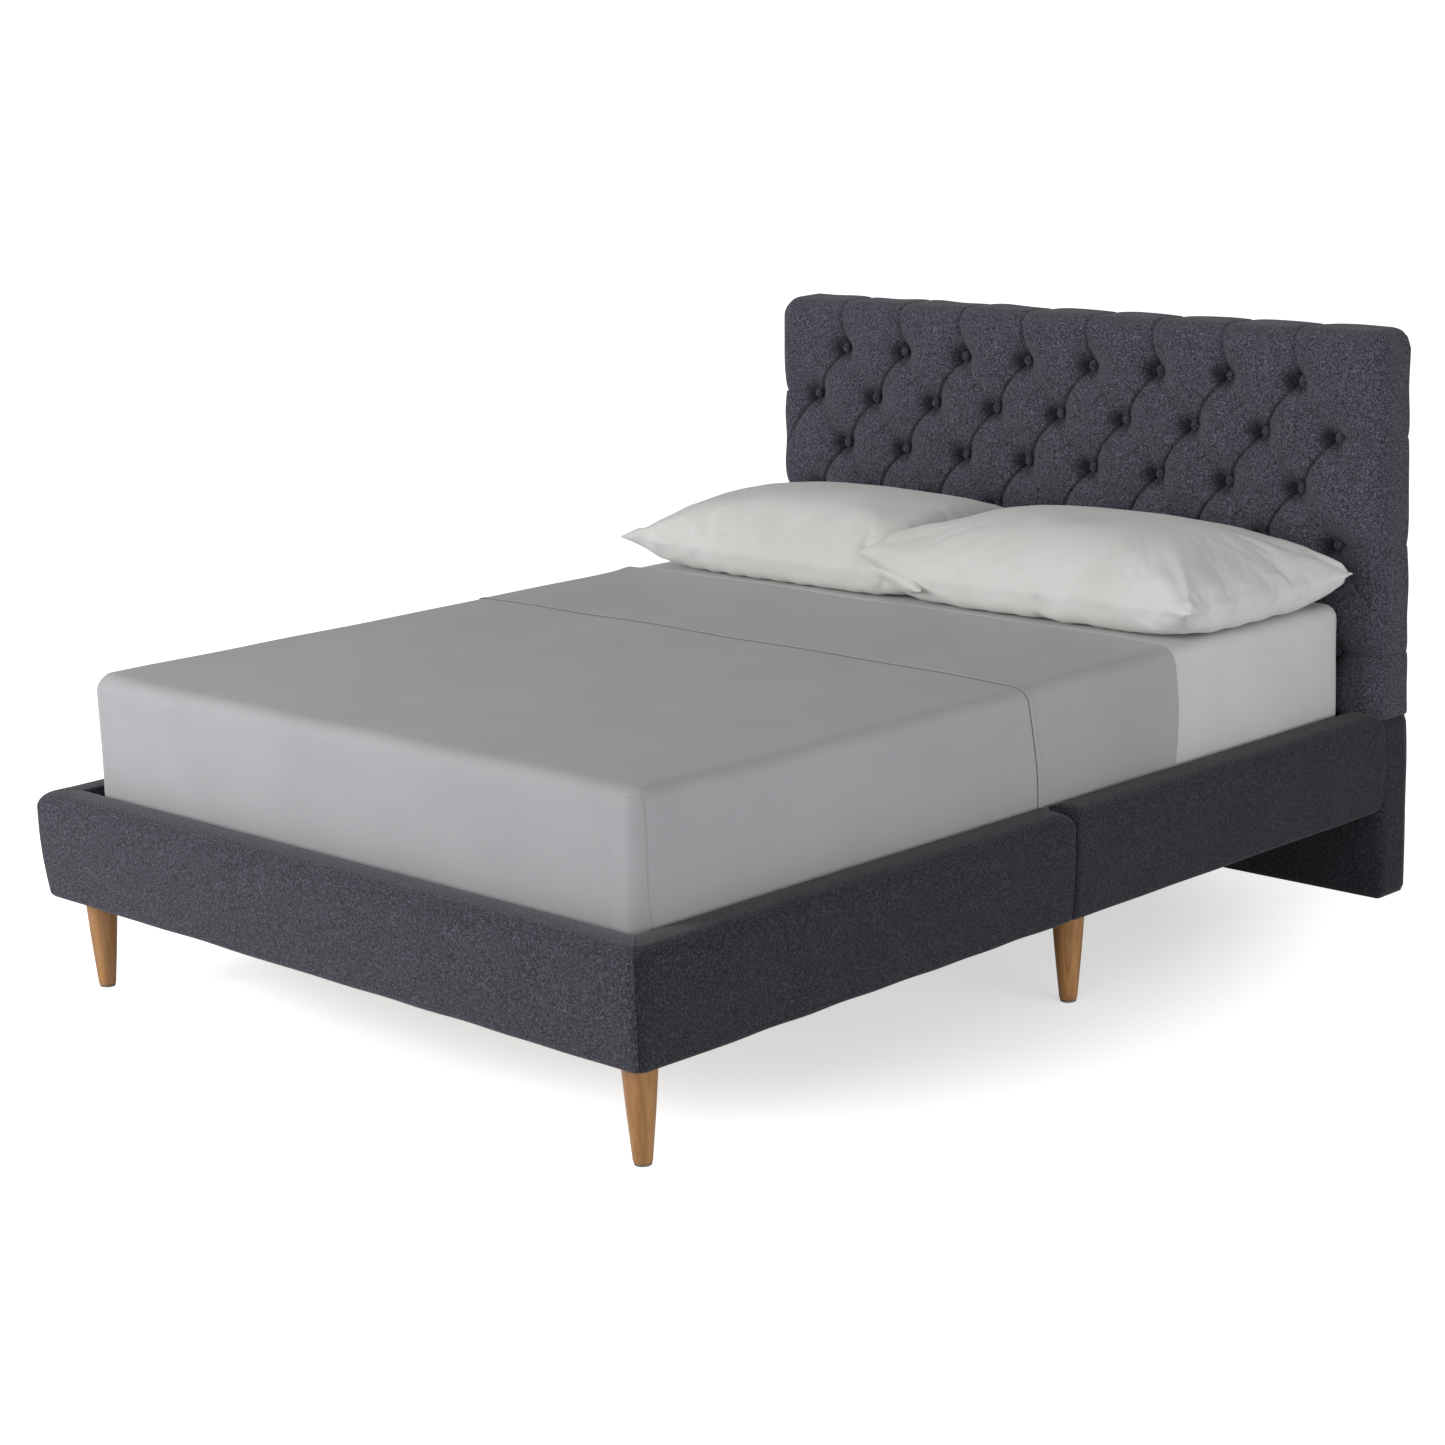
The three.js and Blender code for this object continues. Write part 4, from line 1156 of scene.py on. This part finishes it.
def fittedSheet(bed):
    spec = bed.spec
    us = spaced(-bed.wide, bed.wide, spec["step"])
    vs = spaced(bed.foot, bed.head, spec["step"])
    u, v = np.meshgrid(us, vs)
    outer = bed.skin(u, v, -spec["fittedDepth"])
    inner = bed.skin(u, v, -spec["fittedDepth"] - spec["cloth"])
    points, faces = clothBetween(outer, inner)
    sheet = tidyMesh(meshFrom("elastic_fitted_sheet", points, faces, ivoryCotton), 1e-6)
    place(sheet, "bedding", "ivory_cotton", "fitted_sheet")
    return sheet, (2 * bed.wide, bed.head - bed.foot)


# The flat sheet runs up from under the foot, along to its fold and back on itself.
def flatSheet(bed):
    spec = bed.spec
    thick, gap = spec["cloth"], spec["flapGap"]
    rows = [(v, 0.0, -thick, 0.0) for v in spaced(bed.foot, bed.fold, spec["step"])]
    turnRound = (gap + spec["foldGap"]) / 2
    for turn in range(20, 180, 20):
        angle = math.radians(turn)
        centre = turnRound
        rows.append((bed.fold + turnRound * math.sin(angle), centre - turnRound * math.cos(angle),
                     centre - (turnRound + thick) * math.cos(angle), 0.0))
    hem = spec["hemLine"]
    near = [hem + shift for shift in (0.0135, 0.0120, 0.0105, 0.0060, 0.0018, 0.0)]
    back = [v for v in spaced(hem, bed.fold, spec["step"])[::-1] if v > hem + 0.016] + near
    for v in back:
        height = gap + spec["foldGap"] * math.exp(-(bed.fold - v) / 0.028)
        fromHem = v - hem
        bead = 0.0010 * (fromHem < 0.0125) - 0.0003 * (abs(fromHem - 0.012) < 0.001)
        bead += 0.0003 * (fromHem < 0.002)
        share = eased((bed.fold - v) / (bed.fold - hem))
        rows.append((v, height + 0.0010 * (fromHem < 0.002), height + thick + bead, share))
    v, outer, inner, wander = np.array(rows).T
    us = spaced(-bed.wide, bed.wide, spec["step"])
    u, v = np.meshgrid(us, v)
    downSide = np.clip((abs(u) - bed.uRange[1]) / bed.run, 0, 1)
    lean = spec["hemWander"] * unevenness(u, 0 * u, 0.55, 8) + 0.024 * eased(downSide * 1.4)
    v = v + wander[:, None] * lean
    v = v + 0.014 * np.exp(-abs(v - bed.fold) / 0.12) * np.sin(math.pi * downSide) ** 2
    first = bed.skin(u, v, outer[:, None] + 0 * u)
    second = bed.skin(u, v, inner[:, None] + 0 * u)
    points, faces = clothBetween(first, second)
    pieces = [points]
    for sign in (1, -1):                  # the mitre folded over at each foot corner
        more, moreFaces = mitreFlap(bed, sign, sum(len(part) for part in pieces))
        pieces.append(more)
        faces += moreFaces
    sheet = tidyMesh(meshFrom("turned_back_flat_sheet", np.concatenate(pieces), faces, greySheet), 1e-6)
    place(sheet, "bedding", "grey_sheet", "flat_sheet")
    return sheet, (2 * bed.wide, 2 * bed.fold - bed.foot - hem)


# Each row follows the bed's skin from the foot face part of the way round the corner.
def mitreFlap(bed, sign, start):
    spec = bed.spec
    runs = np.linspace(0.030, bed.run - spec["under"], 34)
    stations = np.array([-0.055, -0.04, -0.025, -0.012, -0.004, *np.linspace(0, 0.9, 9), 0.97, 1.0])
    station, run = np.meshgrid(stations, runs)
    share = (run - runs[0]) / np.ptp(runs)
    turn = np.clip(station, 0, 1) * (spec["mitreTurn"] + spec["mitreLean"] * share + 0.03 * np.sin(8 * share))
    u = sign * (bed.uRange[1] + run * np.minimum(1, 2 * turn) + np.minimum(station, 0))
    v = bed.vRange[0] - run * np.minimum(1, 2 - 2 * turn)
    rise = eased((station + 0.055) / 0.09) * eased(share / 0.10)
    lowSide = 0.0001 - 0.0011 * (1 - rise)
    highSide = lowSide + 0.0001 + spec["mitreHeight"] * rise * np.where(station == 1.0, 0.3, 1.0)
    grids = [bed.skin(u, v, height) for height in (highSide, lowSide)]
    if sign < 0:
        grids = [grid[:, ::-1] for grid in grids]
    return clothBetween(grids[0], grids[1], start)


bed = MadeBed(bedSet)
mattressPiece(bed)
fittedPiece, fittedFlat = fittedSheet(bed)
flatPiece, flatFlat = flatSheet(bed)
print("mattress and sheets made")


# Pillows: each is two panels of cotton, blown up on its own before it is laid on the bed

pillowSet = {
    "cut": (0.880, 0.580),    # each panel before it is filled
    "cell": 0.0100,
    "pressure": 7.0,
    "weight": 0.06,
    "height": 0.176,
    "frames": 24,
    "rest": 0.0042,           # above the top of the mattress, over its crown
    "seam": 0.0060,           # how far the sewn edge stands out
    "ear": (0.022, 0.014),    # and how far its corners reach beyond that
    "gather": 0.0052,
    "back": 0.010,
    "startTurn": (0.020, -0.014),
    "width": 0.80,
    "spare": 0.030,
    "overhang": 0.012,        # how far its outer end reaches past the model's
    "overlap": 0.17,          # length of the inner ends that lie on each other
    "overlapLift": 0.034,     # the upper pillow's end
    "overlapPress": 0.46,     # the lower pillow's end, as a share of its height
    "tableReach": 0.7,
    "tableDrop": 0.052,
}


def pillowPanels(name, spec, puff, turn):
    width, depth = spec["cut"]
    us = np.linspace(-width / 2, width / 2, int(width / spec["cell"]) + 1)
    vs = np.linspace(-depth / 2, depth / 2, int(depth / spec["cell"]) + 1)
    u, v = np.meshgrid(us, vs)
    a, b = abs(u) / (width / 2), abs(v) / (depth / 2)
    rise = puff * np.sqrt(np.clip(1 - a ** 3, 0, 1) * np.clip(1 - b ** 2.4, 0, 1))
    layers = []
    for side in (1, -1):
        ripple = 0.0012 * unevenness(u * (1 + 0.1 * side), v, 0.13, 40 + int(turn * 1000) + side)
        height = side * (rise + ripple * np.minimum(1, rise / 0.02))
        layers.append(np.stack([u + turn * v, v - turn * u, height], -1))
    quads = gridFaces(*u.shape)
    faces = [tuple(quad) for quad in quads] + [tuple(u.size + quad[::-1]) for quad in quads]
    points = np.concatenate([layer.reshape(-1, 3) for layer in layers])
    outline = np.tile((np.maximum(a, b) > 1 - 1e-6).reshape(-1), 2)
    pillow = meshFrom(name, points, faces, pillowCotton)
    corner = np.tile(((a * b) ** 9).reshape(-1), 2)
    for label, values in (("seam", outline), ("corner", corner)):
        attribute = pillow.data.attributes.new(label, "FLOAT", "POINT")
        attribute.data.foreach_set("value", values.astype(np.float32))
    return tidyMesh(pillow, 1e-6)


def pointsOf(piece):
    places = np.empty(len(piece.data.vertices) * 3, np.float32)
    piece.data.vertices.foreach_get("co", places)
    return places.reshape(-1, 3).astype(float)


def movePoints(piece, places):
    piece.data.vertices.foreach_set("co", places.astype(np.float32).ravel())
    piece.data.update()


# Blows the cloth up above a plain table until it is high enough, and keeps that shape.
def blownUp(pillow, spec):
    reach, drop = spec["tableReach"], spec["tableDrop"]
    corners = [(-reach, -reach, -drop), (reach, -reach, -drop), (reach, reach, -drop), (-reach, reach, -drop)]
    table = meshFrom("table", corners, [(0, 1, 2, 3)], ivoryCotton)
    table.modifiers.new("solid", "COLLISION")
    table.collision.thickness_outer = 0.002
    cloth = pillow.modifiers.new("cotton", "CLOTH")
    settings = cloth.settings
    for name, value in {
            "quality": 7, "mass": 0.25, "air_damping": 2.5, "tension_stiffness": 32,
            "compression_stiffness": 14, "shear_stiffness": 6, "bending_stiffness": 0.25,
            "tension_damping": 8, "compression_damping": 8,
            "use_pressure": True, "uniform_pressure_force": spec["pressure"]}.items():
        setattr(settings, name, value)
    settings.effector_weights.gravity = spec["weight"]
    cloth.collision_settings.distance_min = 0.002
    cloth.collision_settings.friction = 40
    cloth.collision_settings.use_self_collision = False
    cloth.point_cache.frame_start = 1
    cloth.point_cache.frame_end = spec["frames"]
    for step in range(1, spec["frames"] + 1):
        scene.frame_set(step)
        places = pointsOf(pillow.evaluated_get(bpy.context.evaluated_depsgraph_get()))
        if step > 8 and np.ptp(places[:, 2]) > spec["height"]:
            break
    pillow.modifiers.remove(cloth)
    movePoints(pillow, places)
    scene.frame_set(1)
    bpy.data.objects.remove(table)


def pillowPiece(side, number, spec, floorHeight):
    node = f"pillow_{side}"
    low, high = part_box(node)
    pillow = pillowPanels(f"cotton_pillow_{side}", spec, 0.05, spec["startTurn"][number])
    blownUp(pillow, spec)
    places = pointsOf(pillow)
    if number:                       # the same cloth fell the other way round
        places[:, :2] *= -1
    span = np.ptp(places, axis=0)
    factor = min(1.0, (spec["width"] + spec["spare"]) / span[0], (high.y - low.y + spec["spare"]) / span[1])
    places = (places - (places.min(0) + places.max(0)) / 2) * factor
    seam, corner = (np.zeros(len(places), np.float32) for _ in range(2))
    pillow.data.attributes["seam"].data.foreach_get("value", seam)
    pillow.data.attributes["corner"].data.foreach_get("value", corner)
    ends = abs(places[:, :2]) / (np.ptp(places[:, :2], axis=0) / 2)
    outwards = np.sign(places[:, :2]) * (ends > ends.max(1, keepdims=True) - 0.02)
    places[:, :2] += outwards * seam[:, None] * spec["seam"]
    places[:, :2] += np.sign(places[:, :2]) * corner[:, None] * spec["ear"]
    gathers = np.zeros(len(places))
    for axis in (0, 1):              # short wrinkles that run in from the seam
        fromEdge = np.ptp(places[:, axis]) / 2 - abs(places[:, axis])
        band = np.exp(-fromEdge / 0.055) * (1 - np.exp(-fromEdge / 0.012))
        seed = 60 + 7 * number + axis
        gathers += band * unevenness(places[:, 1 - axis], 0.25 * places[:, axis], 0.052, seed)
    places[:, 2] += spec["gather"] * gathers * np.sign(places[:, 2]) * (1 - seam)
    places[:, 2] += floorHeight - places[:, 2].min()
    outerEnd = high.x if side == "right" else low.x
    halfWidth = np.ptp(places[:, 0]) / 2
    sign = 1 if side == "right" else -1
    places[:, 0] += outerEnd + sign * (spec["overhang"] - halfWidth)
    places[:, 1] += (low.y + high.y) / 2 + spec["back"]
    inner = outerEnd + sign * (spec["overhang"] - 2 * halfWidth)
    nearInner = eased(1 - sign * (places[:, 0] - inner) / spec["overlap"])
    height = places[:, 2] - floorHeight
    if side == "right":              # its end lies on top of the left pillow's
        places[:, 2] += spec["overlapLift"] * nearInner * eased(height / 0.05 + 0.35)
    else:
        places[:, 2] = floorHeight + height * (1 - spec["overlapPress"] * nearInner)
    movePoints(pillow, places)
    fine = pillow.modifiers.new("finer", "SUBSURF")
    fine.levels = fine.render_levels = 1
    place(pillow, node, "ivory_cotton", node)


for number, side in enumerate(sides):
    pillowPiece(side, number, pillowSet, bed.high[2] + pillowSet["rest"])
print("pillows made")


# Back of the headboard

backSet = {"ripple": 0.0007, "thickness": 0.0005, "step": 0.024, "stapleEvery": 0.046, "stapleIn": 0.009,
           "stapleLength": 0.011, "wire": 0.0011}


def headboardBack(spec):
    low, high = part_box("headboard_back_cloth")
    us = spaced(low.x, high.x, spec["step"])
    vs = spaced(low.z, high.z, spec["step"])
    u, v = np.meshgrid(us, vs)
    inside = np.minimum(np.minimum(u - low.x, high.x - u), np.minimum(v - low.z, high.z - v))
    slack = eased(inside / 0.10) * spec["ripple"] * unevenness(u, v, 0.33, 14)
    pulled = np.exp(-inside / 0.03) * 0.0003 * np.sin((u + v) * 2 * math.pi / spec["stapleEvery"])
    y = high.y - 0.0014 + slack + pulled
    outer = np.stack([u, y, v], -1)
    inner = np.stack([u, y - spec["thickness"], v], -1)
    points, faces = clothBetween(outer, inner)
    cloth = tidyMesh(meshFrom("stapled_back_cloth", points, faces, backCloth), 1e-6)
    place(cloth, "base", "back_cloth", "headboard_back_cloth")
    edgeIn = spec["stapleIn"]
    across = np.arange(low.x + 0.02, high.x - 0.01, spec["stapleEvery"])
    upwards = np.arange(low.z + 0.02, high.z - 0.01, spec["stapleEvery"])
    lying = [(x, high.y - 0.0011, z) for x in across for z in (low.z + edgeIn, high.z - edgeIn)]
    standing = [(x, high.y - 0.0011, z) for x in (low.x + edgeIn, high.x - edgeIn) for z in upwards]
    parts = []
    for name, points, spin in (("lying", lying, 0.0), ("standing", standing, math.pi / 2)):
        sizes = {"Length": spec["stapleLength"], "Wire": spec["wire"]}
        tree, given = newNodes(name + " staples", sizes)
        shape = addNode(tree, "ShaderNodeCombineXYZ", {
            "X": given["Length"], "Y": addMath(tree, "MULTIPLY", given["Wire"], 0.6), "Z": given["Wire"]})
        bar = addNode(tree, "GeometryNodeMeshCube", {"Size": shape.outputs[0]})
        endNodes(tree, onEachPoint(tree, given, bar, Rotation=(0.0, spin, 0.0)), zincSteel, smooth=False)
        parts.append(grown(name + "_staples", points, tree, sizes, zincSteel))
    for part in parts:
        place(part, "base", "zinc_steel")


headboardBack(backSet)
print("headboard back made")
